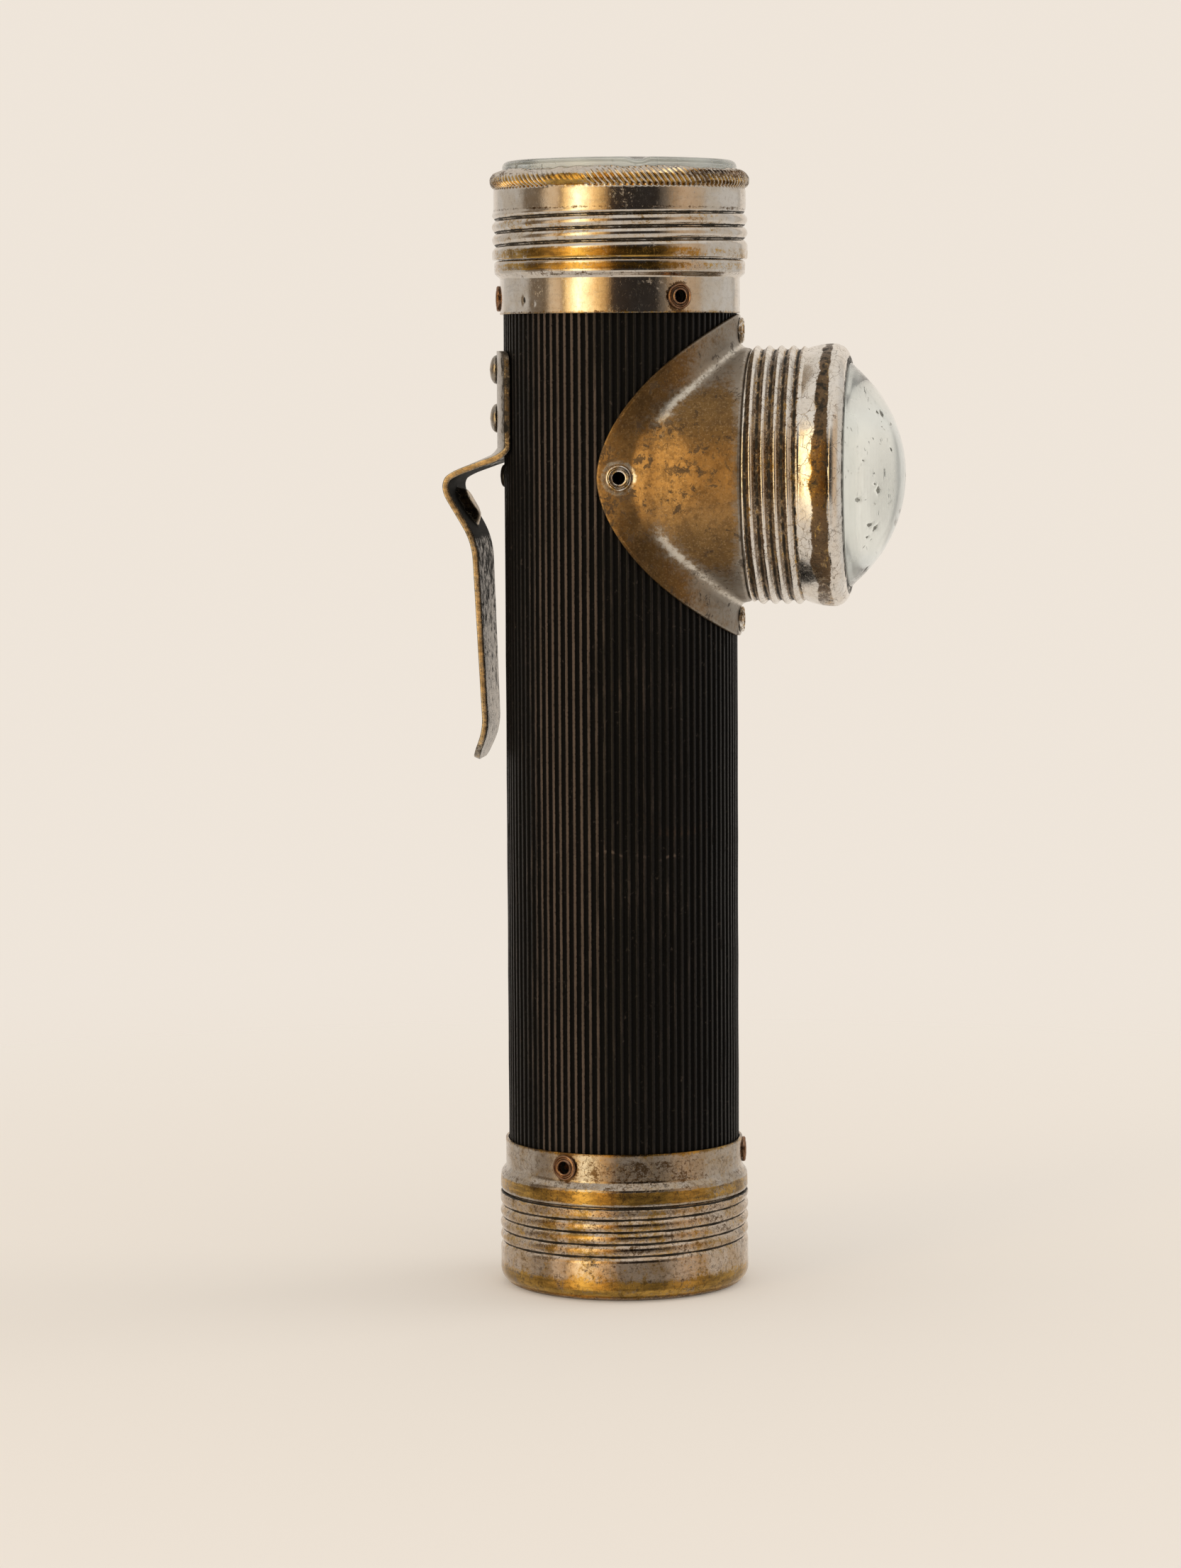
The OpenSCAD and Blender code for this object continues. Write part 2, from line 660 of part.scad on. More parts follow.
// The leg is one bent sheet: curved like the tube at its top, flat from the knee on,
// narrowing to its tip, with an oval boss pressed toward the tube below the knee
module clip_leg() {
    steps = len(clip_path) - 1;
    across = 8;
    row = across + 1;
    flat_from = 0.09;
    boss_at = 10;
    boss_len = 3.6;
    boss_wide = 0.42;
    boss_rise = 1.1;
    function run(i) = (clip_bend_z - clip_path[i][1]) / clip_len;
    function half(i) = (clip_w + (clip_tip_w - clip_w) * run(i)) / 2 * (i == steps ? 0.8 : 1);
    function curve(i, y) = (1 - min(1, run(i) / flat_from))
        * (clip_r - sqrt(pow(clip_r, 2) - y * y));
    function boss(i, u) = boss_rise * max(0, 1 - pow(u / boss_wide, 2)
        - pow((clip_bend_z - clip_path[i][1] - boss_at) / boss_len, 2));
    function inward(i) = let (a = clip_path[max(i - 1, 0)], b = clip_path[min(i + 1, steps)],
        d = (b - a) / norm(b - a)) i == 0 ? [-1, 0] : [d[1], -d[0]];
    function face(i, u, deep) = let (y = half(i) * u,
        p = clip_path[i] + deep * (clip_t + boss(i, u)) * inward(i)) [curve(i, y) - p[0], y, p[1]];
    points = [for (deep = [0, 1], i = [0:steps], k = [0:across]) face(i, 2 * k / across - 1, deep)];
    under = len(points) / 2;
    last = steps * row;
    faces = concat(
        [for (i = [0:steps - 1], k = [0:across - 1]) let (a = i * row + k)
            each [[a, a + 1, a + row + 1], [a, a + row + 1, a + row]]],
        [for (i = [0:steps - 1], k = [0:across - 1]) let (a = under + i * row + k)
            each [[a, a + row, a + row + 1], [a, a + row + 1, a + 1]]],
        [for (i = [0:steps - 1]) let (a = i * row, b = a + row, c = under + a)
            each [[a, b, c + row], [a, c + row, c]]],
        [for (i = [0:steps - 1]) let (a = i * row + across, b = a + row, c = under + a)
            each [[a, c, c + row], [a, c + row, b]]],
        [for (k = [0:across - 1]) each [[k, under + k, under + k + 1], [k, under + k + 1, k + 1]]],
        [for (k = [0:across - 1]) let (a = last + k, b = under + a)
            each [[a, a + 1, b + 1], [a, b + 1, b]]]);
    color("#c4bba6") polyhedron(points, faces);
}

// Plate of the switch: an oblong with round ends, curved to the tube
module switch_plate() {
    color("#c2bbaf") difference() {
        rotate([0, 0, switch_az]) translate([0, 0, switch_z]) intersection() {
            difference() {
                cylinder(r = sleeve_r + plate_t, h = 2 * plate_half, center = true);
                cylinder(r = sleeve_r, h = 3 * plate_half, center = true);
            }
            rotate([0, 90, 0]) linear_extrude(tube_od) {
                square([2 * plate_half - switch_w, switch_w], center = true);
                for (side = [-1, 1]) translate([side * (plate_half - switch_w / 2), 0])
                    circle(d = switch_w);
            }
        }
        switch_slot();
        switch_eyelet_holes();
    }
}

// Thumb piece: a round dished button on a flat stem that runs in the slot
module switch_thumb() {
    foot = sleeve_r + plate_t + loose;
    button_r = 4.8;
    waist_r = 4.2;
    high = 2.7;
    round = 0.6;
    color("#c8c1b4") out_at(switch_az, 0, switch_z) {
        rotate_extrude($fn = small_fn) polygon(concat(
            [[0, foot], [button_r - 0.2, foot], [button_r, foot + 0.3], [waist_r, foot + 1]],
            arc([waist_r - round, foot + high - round], round, 0, 90, 4),
            [[waist_r / 2, foot + high - 0.3], [0, foot + high - 0.4]]));
        translate([-stem_h / 2, loose - slot_w / 2, shoe_r])
            cube([stem_h, slot_w - 2 * loose, foot - shoe_r + join]);
    }
}

// Shoe inside the tube: always under the feed strip, and under a lamp's strip at each end
module switch_shoe() {
    foot_z = switch_z - shoe_half_h;
    arm_h = shoe_half_h - 1;
    color("#c39a4c") difference() {
        arc_plate(shoe_r - shoe_t, shoe_r, switch_az - turn(shoe_side),
                  switch_az + turn(end_at + strip_w / 2), foot_z, foot_z + 2 * shoe_half_h);
        rotate([0, 0, switch_az + turn(feed_at + strip_w / 2)]) translate([0, 0, foot_z - 1])
            cube([tube_r, tube_r, 2 * shoe_half_h - arm_h + 1]);
    }
}

// Strip down the bore from height z0 to z1, its end at lip_z turned over the tube's edge
module ferrule_strip(at, z0, z1, lip_z) {
    az0 = switch_az + turn(at - strip_w / 2);
    az1 = switch_az + turn(at + strip_w / 2);
    arc_plate(strip_r, strip_out_r, az0, az1, z0, z1);
    arc_plate(strip_r, tube_r, az0, az1, lip_z, lip_z + strip_t);
}

module feed_strip() {
    color("#c39a4c") ferrule_strip(feed_at, low_seam_z - strip_t, switch_z + shoe_half_h + 4,
                                   low_seam_z - strip_t);
}

module end_lamp_strip() {
    color("#c39a4c") ferrule_strip(end_at, switch_z + shoe_half_h + 0.6, top_seam_z + strip_t,
                                   top_seam_z);
}

// The side lamp's strip hangs from a saddle eyelet, and its foot reaches under the shoe's way
module side_lamp_strip() {
    left = switch_az - turn(side_at + side_strip_w / 2);
    tab = 3;
    foot_z = switch_z - shoe_half_h - switch_travel;
    color("#c39a4c") difference() {
        union() {
            arc_plate(strip_r, strip_out_r, left, left + turn(side_strip_w), foot_z, head_z + tab);
            arc_plate(strip_r, strip_out_r, left, switch_az - turn(shoe_side - 0.9),
                      foot_z, foot_z + switch_travel - 0.6);
            arc_plate(strip_r, strip_out_r, left, tip_eyelet_az + turn(tab * 0.8),
                      head_z - tab, head_z + tab);
        }
        saddle_eyelet_holes();
    }
}

// Dry cell in its carton, drawn up from its zinc base, with a well for the sealing pitch
module cell_can() {
    tall = cell_len - cell_cap_h;
    rim = 0.8;
    color("#8a5a3c") rotate_extrude() polygon([[0, 0], [cell_r - rim, 0], [cell_r, rim / 2],
        [cell_r, tall], [cell_r - rim, tall], [cell_r - rim, tall - cell_well],
        [0, tall - cell_well]]);
}

// Brass cap on the cell's carbon rod, standing out of the pitch
module cell_cap() {
    foot = cell_len - cell_cap_h - cell_well;
    brim = 0.6;
    round = 0.4;
    color("#b08d45") rotate_extrude($fn = small_fn) polygon([[0, foot], [cell_cap_r + brim, foot],
        [cell_cap_r + brim, foot + round], [cell_cap_r, foot + round],
        [cell_cap_r, cell_len - round], [cell_cap_r - round, cell_len], [0, cell_len]]);
}

module lower_cell() {
    translate([0, 0, cell_foot_z]) cell_can();
}

module lower_cell_cap() {
    translate([0, 0, cell_foot_z]) cell_cap();
}

module upper_cell() {
    translate([0, 0, cell_foot_z + cell_len]) cell_can();
}

module upper_cell_cap() {
    translate([0, 0, cell_foot_z + cell_len]) cell_cap();
}

// Bottom cap: round lower edge, plain band, rolled thread ridges and a foot band at the seam
module bottom_cap() {
    band = root_r + band_step;
    foot = 1.8;
    groove = 0.5;
    chamfer = 0.2;
    inner_round = 1.5;
    thread_foot = cap_h - foot - 3 * cap_pitch;
    color("#a98f5c") rotate_extrude() polygon(concat(
        [[0, 0], [band - cap_round, 0]],
        arc([band - cap_round, cap_round], cap_round, -75, 0, 6),
        [[band, thread_foot - groove]],
        ridges(root_r, cap_ridge, thread_foot, cap_pitch, 3),
        [[band, cap_h - foot + groove], [band, cap_h - chamfer], [band - chamfer, cap_h],
         [screw_r, cap_h]],
        arc([screw_r - inner_round, cap_floor + inner_round], inner_round, 0, -90, 4),
        [[0, cap_floor]]));
}

// Cup that the spring stands in
module spring_seat() {
    rim = spring_low_r + spring_wire / 2 + 0.2;
    color("#b08d45") translate([0, 0, cap_floor]) rotate_extrude() polygon([[0, 0],
        [rim + seat_t, 0], [rim + seat_t, 4 * seat_t], [rim, 4 * seat_t], [rim, seat_t],
        [0, seat_t]]);
}

// Centre line of the conical spring after t turns, from the seat up to the cell
function coil(t) = let (up = t / spring_turns, r = spring_low_r + (spring_high_r - spring_low_r) * up)
    [r * cos(360 * t), r * sin(360 * t), cap_floor + seat_t + fit + spring_wire / 2
        + (spring_h - spring_wire - 2 * fit) * up];

coil_steps = 8;

// Wound spring as one tube of rings along its centre line
module bottom_spring() {
    sides = 6;
    rings = coil_steps * spring_turns;
    points = [for (i = [0:rings], k = [0:sides - 1])
        let (t = i / coil_steps, a = 360 * t, b = 360 * k / sides)
        coil(t) + spring_wire / 2 * [cos(b) * cos(a), cos(b) * sin(a), sin(b)]];
    faces = concat(
        [[for (k = [0:sides - 1]) k]],
        [for (i = [0:rings - 1], k = [0:sides - 1])
            let (a = i * sides + k, b = i * sides + (k + 1) % sides)
            each [[a, a + sides, b + sides], [a, b + sides, b]]],
        [[for (k = [sides - 1:-1:0]) rings * sides + k]]);
    color("#b3a78d") polyhedron(points, faces);
}

// Least gap between turns of the spring, measured on points of its centre line
spring_gap = min([for (i = [0:coil_steps * spring_turns],
    j = [i + coil_steps - 2:coil_steps * spring_turns])
    norm(coil(i / coil_steps) - coil(j / coil_steps))]) - spring_wire;
echo(spring_gap = spring_gap);

body_tube();
top_ferrule();
top_ferrule_eyelets();
bottom_ferrule();
bottom_ferrule_eyelets();
top_bezel();
top_lens();
top_reflector();
top_bulb_glass();
top_bulb_base();
side_saddle();
saddle_eyelets();
side_bezel();
side_lens();
side_reflector();
side_bulb_glass();
side_bulb_base();
lamp_block();
block_rivet();
centre_contact();
side_contact();
clip_plate();
clip_leg();
clip_rivets();
switch_plate();
switch_eyelets();
switch_thumb();
switch_shoe();
feed_strip();
end_lamp_strip();
side_lamp_strip();
upper_cell();
upper_cell_cap();
lower_cell();
lower_cell_cap();
bottom_cap();
spring_seat();
bottom_spring();
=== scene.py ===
"""Looks of an antique flashlight: a ribbed fibre tube, an end lens and a bull's-eye on its side.

Lengths are millimetres until a mesh is made. The tube's axis is Z and the side head points
along +X. Bearings are angles round the tube from the side head.
"""
import logging
import math
from dataclasses import dataclass, field
from enum import Enum
from typing import ClassVar, Optional, Sequence, Union

import bmesh
import bpy
import numpy as np
from mathutils import Matrix, Vector


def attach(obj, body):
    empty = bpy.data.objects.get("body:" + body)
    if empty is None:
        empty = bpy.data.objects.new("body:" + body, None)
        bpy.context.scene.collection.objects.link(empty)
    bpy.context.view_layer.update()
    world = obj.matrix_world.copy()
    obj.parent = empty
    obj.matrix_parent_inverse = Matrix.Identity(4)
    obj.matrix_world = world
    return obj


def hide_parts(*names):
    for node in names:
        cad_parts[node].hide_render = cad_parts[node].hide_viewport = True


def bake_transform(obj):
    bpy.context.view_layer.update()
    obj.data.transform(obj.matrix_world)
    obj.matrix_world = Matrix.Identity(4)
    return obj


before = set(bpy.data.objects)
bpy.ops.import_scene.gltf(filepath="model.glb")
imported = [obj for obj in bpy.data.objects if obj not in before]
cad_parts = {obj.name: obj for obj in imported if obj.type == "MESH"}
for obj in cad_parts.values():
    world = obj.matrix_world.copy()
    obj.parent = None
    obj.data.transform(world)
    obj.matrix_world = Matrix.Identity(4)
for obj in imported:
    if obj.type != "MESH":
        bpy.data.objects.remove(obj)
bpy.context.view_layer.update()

log = logging.getLogger("flashlight")

MM = 0.001
TAU = 2 * math.pi

Colour = tuple[float, float, float]
Socket = bpy.types.NodeSocket
Input = Union[Socket, float, Colour]


class Body(Enum):
    """The moving groups of the flashlight."""

    TORCH = "torch"
    END_GLASS = "end_glass"
    END_RING = "end_ring"
    SIDE_GLASS = "side_glass"
    SIDE_RING = "side_ring"
    CAP_SEAT = "cap_seat"
    CAP = "cap"
    CLIP = "clip"
    SWITCH = "switch"


@dataclass(frozen=True)
class Setting:
    """Where the camera and the front of the flashlight are."""

    front: float = math.radians(-83)
    head_z: float = 132.93
    picture_wide: int = 1666
    picture_high: int = 2212


SETTING = Setting()


@dataclass(frozen=True)
class Seat:
    """Where a piece drawn along its own +Z stands, as a turn and a place."""

    turn: np.ndarray
    place: np.ndarray

    @staticmethod
    def upright(z: float, flip: bool = False) -> "Seat":
        """A seat on the tube's axis, with the piece's +Z up or, flipped, down."""
        return Seat(np.diag([1.0, -1.0, -1.0]) if flip else np.eye(3), np.array([0, 0, z]))

    @staticmethod
    def on_head(x: float) -> "Seat":
        """A seat on the axis of the side head, with the piece's +Z along +X."""
        lay = np.array([[0, 0, 1], [0, 1, 0], [-1, 0, 0]], float)
        return Seat(lay, np.array([x, 0, SETTING.head_z]))

    @staticmethod
    def on_tube(bearing: float, radius: float, z: float) -> "Seat":
        """A seat on the tube, with the piece's +Z pointing out of it.

        Args:
            bearing: degrees round the tube from the side head.
            radius: distance of the seat from the tube's axis.
            z: height of the seat.

        Returns:
            The seat.
        """
        c, s = math.cos(math.radians(bearing)), math.sin(math.radians(bearing))
        lay = np.array([[0, 0, 1], [0, 1, 0], [-1, 0, 0]], float)
        round_tube = np.array([[c, -s, 0], [s, c, 0], [0, 0, 1]])
        return Seat(round_tube @ lay, np.array([radius * c, radius * s, z]))

    def put(self, points: np.ndarray) -> np.ndarray:
        """Points of the piece moved to the seat."""
        return points @ self.turn.T + self.place


def smooth(value: np.ndarray, low: float, high: float) -> np.ndarray:
    """Share from 0 at low to 1 at high, with soft ends."""
    t = np.clip((value - low) / (high - low), 0, 1)
    return t * t * (3 - 2 * t)


def arc(centre: Sequence[float], radius: float, start: float, end: float,
        steps: int = 8) -> list[list[float]]:
    """Points of an arc.

    Args:
        centre: its centre in the outline's plane.
        radius: its radius.
        start: angle of the first point in degrees.
        end: angle of the last point in degrees.
        steps: number of chords.

    Returns:
        The points, both ends included.
    """
    angles = np.radians(np.linspace(start, end, steps + 1))
    return [[centre[0] + radius * math.cos(a), centre[1] + radius * math.sin(a)] for a in angles]


def refine(points: Sequence[Sequence[float]], grain: float, closed: bool = False) -> np.ndarray:
    """Splits each straight stretch of a line into steps no longer than grain.

    Args:
        points: the line's corners.
        grain: longest step.
        closed: whether the last corner joins the first.

    Returns:
        The finer line.
    """
    corners = np.array(points, float)
    ends = np.roll(corners, -1, axis=0) if closed else corners[1:]
    fine = []
    for a, b in zip(corners, ends):
        steps = max(1, math.ceil(float(np.linalg.norm(b - a)) / grain))
        fine += [a + (b - a) * i / steps for i in range(steps)]
    if not closed:
        fine.append(corners[-1])
    return np.array(fine)


def bend_corner(before: np.ndarray, at: np.ndarray, after: np.ndarray, size: float,
                steps: int = 8) -> list[np.ndarray]:
    """Points of a rounded corner of a path.

    Args:
        before: the point that the path comes from.
        at: the corner.
        after: the point that the path goes to.
        size: how far from the corner the rounding starts.
        steps: number of chords.

    Returns:
        The points of the rounding.
    """
    start = at + size * (before - at) / np.linalg.norm(before - at)
    end = at + size * (after - at) / np.linalg.norm(after - at)
    return [(1 - t) ** 2 * start + 2 * t * (1 - t) * at + t * t * end
            for t in np.linspace(0, 1, steps + 1)]


@dataclass
class Shell:
    """A mesh in the making: points in millimetres, faces, and a few numbers on each point."""

    points: np.ndarray
    quads: np.ndarray
    caps: list[list[int]] = field(default_factory=list)
    marks: dict[str, np.ndarray] = field(default_factory=dict)

    @staticmethod
    def grid(points: np.ndarray, wrap_rows: bool, wrap_columns: bool,
             marks: Optional[dict[str, np.ndarray]] = None) -> "Shell":
        """A sheet of quads over rows and columns of points.

        Args:
            points: array of rows by columns by 3.
            wrap_rows: whether the last row joins the first.
            wrap_columns: whether the last column joins the first.
            marks: numbers on the points, each an array of rows by columns.

        Returns:
            The sheet.
        """
        rows, columns = points.shape[:2]
        r = np.arange(rows if wrap_rows else rows - 1)[:, None]
        c = np.arange(columns if wrap_columns else columns - 1)[None, :]
        r1, c1 = (r + 1) % rows, (c + 1) % columns
        corners = [r * columns + c, r * columns + c1, r1 * columns + c1, r1 * columns + c]
        quads = np.stack([np.broadcast_to(x, corners[0].shape) for x in corners], -1)
        flat = {k: np.broadcast_to(v, (rows, columns)).ravel() for k, v in (marks or {}).items()}
        return Shell(points.reshape(-1, 3), quads.reshape(-1, 4), [], flat)

    @staticmethod
    def joined(shells: Sequence["Shell"]) -> "Shell":
        """Several shells as one, with the marks that the first one has."""
        starts = np.cumsum([0] + [len(s.points) for s in shells])
        return Shell(
            np.concatenate([s.points for s in shells]),
            np.concatenate([s.quads + n for s, n in zip(shells, starts)]),
            [[i + int(n) for i in cap] for s, n in zip(shells, starts) for cap in s.caps],
            {k: np.concatenate([s.marks[k] for s in shells]) for k in shells[0].marks})

    def seated(self, seat: Seat) -> "Shell":
        """The same shell, moved to a seat."""
        return Shell(seat.put(self.points), self.quads, self.caps, self.marks)

    def to_object(self, name: str, sharp: float = 40) -> bpy.types.Object:
        """Makes the Blender object, in metres.

        Args:
            name: name of the object and its mesh.
            sharp: angle in degrees above which an edge is drawn sharp.

        Returns:
            The object, linked to the scene.
        """
        mesh = bpy.data.meshes.new(name)
        sizes = [4] * len(self.quads) + [len(cap) for cap in self.caps]
        loops = np.concatenate([self.quads.ravel(), np.array(sum(self.caps, []), int)])
        mesh.vertices.add(len(self.points))
        mesh.vertices.foreach_set("co", (self.points * MM).astype(np.float32).ravel())
        mesh.loops.add(len(loops))
        mesh.loops.foreach_set("vertex_index", loops.astype(np.int32))
        mesh.polygons.add(len(sizes))
        starts = np.concatenate([[0], np.cumsum(sizes)[:-1]]).astype(np.int32)
        mesh.polygons.foreach_set("loop_start", starts)
        mesh.update(calc_edges=True)
        for key, values in self.marks.items():
            layer = mesh.attributes.new(key, "FLOAT", "POINT")
            layer.data.foreach_set("value", values.astype(np.float32))
        tidy_mesh(mesh, sharp)
        piece = bpy.data.objects.new(name, mesh)
        bpy.context.scene.collection.objects.link(piece)
        return piece


def tidy_mesh(mesh: bpy.types.Mesh, sharp: float) -> None:
    """Joins points that coincide, turns faces outwards and shades smooth up to an angle.

    Args:
        mesh: the mesh to tidy.
        sharp: angle in degrees above which an edge is drawn sharp.
    """
    work = bmesh.new()
    work.from_mesh(mesh)
    bmesh.ops.remove_doubles(work, verts=work.verts, dist=1e-7)
    bmesh.ops.dissolve_degenerate(work, edges=work.edges, dist=1e-8)
    bmesh.ops.recalc_face_normals(work, faces=work.faces)
    work.to_mesh(mesh)
    work.free()
    mesh.shade_smooth()
    mesh.set_sharp_from_angle(angle=math.radians(sharp))


def pierce(piece: bpy.types.Object, cutters: Sequence[Shell]) -> None:
    """Cuts holes in a piece.

    Args:
        piece: the object to cut.
        cutters: closed shells of what is cut away, apart from each other.
    """
    tool = Shell.joined(cutters).to_object("cutter")
    cut = piece.modifiers.new("holes", "BOOLEAN")
    cut.operation, cut.solver, cut.object = "DIFFERENCE", "MANIFOLD", tool
    graph = bpy.context.evaluated_depsgraph_get()
    mesh = bpy.data.meshes.new_from_object(piece.evaluated_get(graph), depsgraph=graph)
    piece.modifiers.clear()
    old, piece.data = piece.data, mesh
    bpy.data.meshes.remove(old)
    used = tool.data
    bpy.data.objects.remove(tool)
    bpy.data.meshes.remove(used)
    piece.data.name = piece.name
    piece.data.shade_smooth()
    piece.data.set_sharp_from_angle(angle=math.radians(40))


def plug(radius: float, low: float, high: float, steps: int = 48) -> Shell:
    """A closed round rod along +Z, to cut a hole with.

    Args:
        radius: its radius.
        low: its lower end.
        high: its upper end.
        steps: number of its sides.

    Returns:
        The rod.
    """
    a = np.arange(steps) * TAU / steps
    ring = np.stack([radius * np.cos(a), radius * np.sin(a)], 1)
    rows = np.stack([np.column_stack([ring, np.full(steps, z)]) for z in (low, high)])
    rod = Shell.grid(rows, False, True)
    rod.caps = [list(range(steps)), list(range(2 * steps - 1, steps - 1, -1))]
    return rod


@dataclass(frozen=True)
class Ripple:
    """Small unevenness of a surface that was spun and handled, as a sum of a few waves."""

    seed: int
    depth: float
    around: int = 9
    along: float = 0.5
    waves: int = 14

    def at(self, theta: np.ndarray, z: np.ndarray) -> np.ndarray:
        """Height of the unevenness.

        Args:
            theta: angles round the axis.
            z: places along it.

        Returns:
            The height at each place, about depth at most.
        """
        draw = np.random.default_rng(self.seed)
        total = np.zeros(np.broadcast(theta, z).shape)
        for _ in range(self.waves):
            turns, rise = draw.integers(1, self.around + 1), draw.uniform(-self.along, self.along)
            total += np.sin(turns * theta + rise * z + draw.uniform(0, TAU)) / (1 + 0.3 * turns)
        return self.depth * total / 2


@dataclass(frozen=True)
class Dent:
    """A shallow knock in a round surface."""

    bearing: float
    z: float
    wide: float
    high: float
    deep: float

    def at(self, theta: np.ndarray, z: np.ndarray, radius: float) -> np.ndarray:
        """Depth of the dent at each place of a surface of that radius."""
        away = (theta - math.radians(self.bearing) + math.pi) % TAU - math.pi
        return self.deep * np.exp(-(away * radius / self.wide) ** 2 - ((z - self.z) / self.high) ** 2)


@dataclass(frozen=True)
class RolledThread:
    """A right-handed thread rolled into sheet metal.

    Its grooves lie one pitch apart. The first crosses the front at height z. It starts half a
    turn before the front, and the last ends half a turn after it.
    """

    z: float
    pitch: float
    count: int
    sharp: float
    front: float = SETTING.front
    fade: float = 0.9

    def groove(self, theta: np.ndarray, z: np.ndarray) -> np.ndarray:
        """How deep each place lies in a groove, from 0 on a crest to 1 at a root.

        Args:
            theta: angles round the thread's axis.
            z: heights along it.

        Returns:
            The shares.
        """
        turned = (theta - self.front + math.pi) % TAU - math.pi
        deepest = np.zeros(np.broadcast(theta, z).shape)
        for k in range(self.count):
            middle = self.z + self.pitch * (turned / TAU + k)
            off = np.minimum(np.abs(z - middle), self.pitch / 2)
            share = 1 - np.sin(math.pi * off / self.pitch) ** self.sharp
            if k == 0:
                share = share * smooth(turned + math.pi, 0, self.fade)
            if k == self.count - 1:
                share = share * smooth(math.pi - turned, 0, self.fade)
            deepest = np.maximum(deepest, share)
        return deepest


class Graph:
    """A short way to lay out shader nodes."""

    def __init__(self, tree: bpy.types.NodeTree) -> None:
        """Starts on an empty tree."""
        self.tree = tree
        tree.nodes.clear()

    def node(self, kind: str, inputs: Optional[dict[Union[str, int], Input]] = None,
             **settings: Union[str, bool, int]) -> bpy.types.Node:
        """Adds a node.

        Args:
            kind: the node's type.
            inputs: a socket to link or a value to set, by the input's name or number.
            **settings: the node's own settings.

        Returns:
            The node.
        """
        made = self.tree.nodes.new(kind)
        for key, value in settings.items():
            setattr(made, key, value)
        for key, value in (inputs or {}).items():
            if isinstance(value, Socket):
                self.tree.links.new(value, made.inputs[key])
            elif isinstance(value, tuple) and len(made.inputs[key].default_value) == 4:
                made.inputs[key].default_value = (*value, 1.0)
            else:
                made.inputs[key].default_value = value
        return made

    def math(self, operation: str, a: Input, b: Input = 0.0, clamp: bool = False) -> Socket:
        """Result of a sum on two numbers."""
        return self.node("ShaderNodeMath", {0: a, 1: b}, operation=operation,
                         use_clamp=clamp).outputs[0]

    def share(self, value: Input, low: float, high: float) -> Socket:
        """Share from 0 where value is low to 1 where it is high, with soft ends."""
        return self.node("ShaderNodeMapRange", {0: value, 1: low, 2: high, 3: 0.0, 4: 1.0},
                         interpolation_type="SMOOTHSTEP").outputs[0]

    def between(self, value: Input, low: float, high: float) -> Socket:
        """Number from low where value is 0 to high where it is 1."""
        return self.node("ShaderNodeMapRange", {0: value, 1: 0.0, 2: 1.0, 3: low, 4: high}).outputs[0]

    def mix(self, share: Input, a: Input, b: Input, blend: str = "MIX") -> Socket:
        """Colour a turned into colour b by a share."""
        made = self.node("ShaderNodeMix", {0: share, 6: a, 7: b}, data_type="RGBA",
                         blend_type=blend)
        return made.outputs[2]

    def mark(self, name: str) -> Socket:
        """A number that the mesh holds at each point."""
        return self.node("ShaderNodeAttribute", attribute_name=name).outputs["Fac"]

    def place(self, stretch: Colour = (1, 1, 1), shift: float = 0.0) -> Socket:
        """Place on the piece in millimetres, stretched along its axes."""
        where = self.node("ShaderNodeTexCoord").outputs["Object"]
        scaled = tuple(s / MM for s in stretch)
        return self.node("ShaderNodeMapping", {0: where, 1: (shift, shift * 0.7, -shift), 3: scaled}).outputs[0]

    def noise(self, at: Socket, scale: float, detail: float = 4, rough: float = 0.6,
              twist: float = 0.0) -> Socket:
        """Cloudy noise of about 1/scale millimetres."""
        return self.node("ShaderNodeTexNoise", {"Vector": at, "Scale": scale, "Detail": detail,
                                                "Roughness": rough, "Distortion": twist}).outputs[0]

    def lines(self, at: Socket, scale: float, width: float, twist: float = 0.3) -> Socket:
        """Thin wandering lines, 1 on a line and 0 off it."""
        level = self.math("ABSOLUTE", self.math("SUBTRACT", self.noise(at, scale, 2, 0.5, twist), 0.5))
        return self.math("SUBTRACT", 1.0, self.share(level, 0.0, width))

    def spots(self, at: Socket, scale: float, size: float) -> Socket:
        """Scattered round spots, 1 in a spot and 0 off it."""
        cells = self.node("ShaderNodeTexVoronoi", {"Vector": at, "Scale": scale}, feature="F1")
        small = self.math("MULTIPLY", self.noise(at, scale * 0.6, 2), size * 2)
        return self.math("SUBTRACT", 1.0, self.share(self.math("DIVIDE", cells.outputs[0], small), 0.7, 1.0))

    def cracks(self, at: Socket, scale: float, width: float) -> Socket:
        """A net of fine cracks about 1/scale millimetres apart, 1 in a crack and 0 off it."""
        bent = self.node("ShaderNodeTexNoise", {"Vector": at, "Scale": scale * 1.6, "Detail": 3.0})
        moved = self.node("ShaderNodeVectorMath", {0: bent.outputs[1], 1: (1.6, 1.6, 1.6)},
                          operation="MULTIPLY").outputs[0]
        moved = self.node("ShaderNodeVectorMath", {0: at, 1: moved}, operation="ADD").outputs[0]
        net = self.node("ShaderNodeTexVoronoi", {"Vector": moved, "Scale": scale},
                        feature="DISTANCE_TO_EDGE")
        return self.math("SUBTRACT", 1.0, self.share(net.outputs[0], 0.0, width))

    def bump(self, height: Input, depth: float, under: Optional[Socket] = None) -> Socket:
        """Normal of a surface that rises by depth millimetres where height is 1."""
        inputs: dict[Union[str, int], Input] = {"Height": height, "Distance": depth * MM,
                                                "Strength": 1.0}
        if under is not None:
            inputs["Normal"] = under
        return self.node("ShaderNodeBump", inputs).outputs[0]


def new_material(name: str) -> tuple[bpy.types.Material, Graph]:
    """An empty node material and its graph."""
    material = bpy.data.materials.new(name)
    material.use_nodes = True
    return material, Graph(material.node_tree)


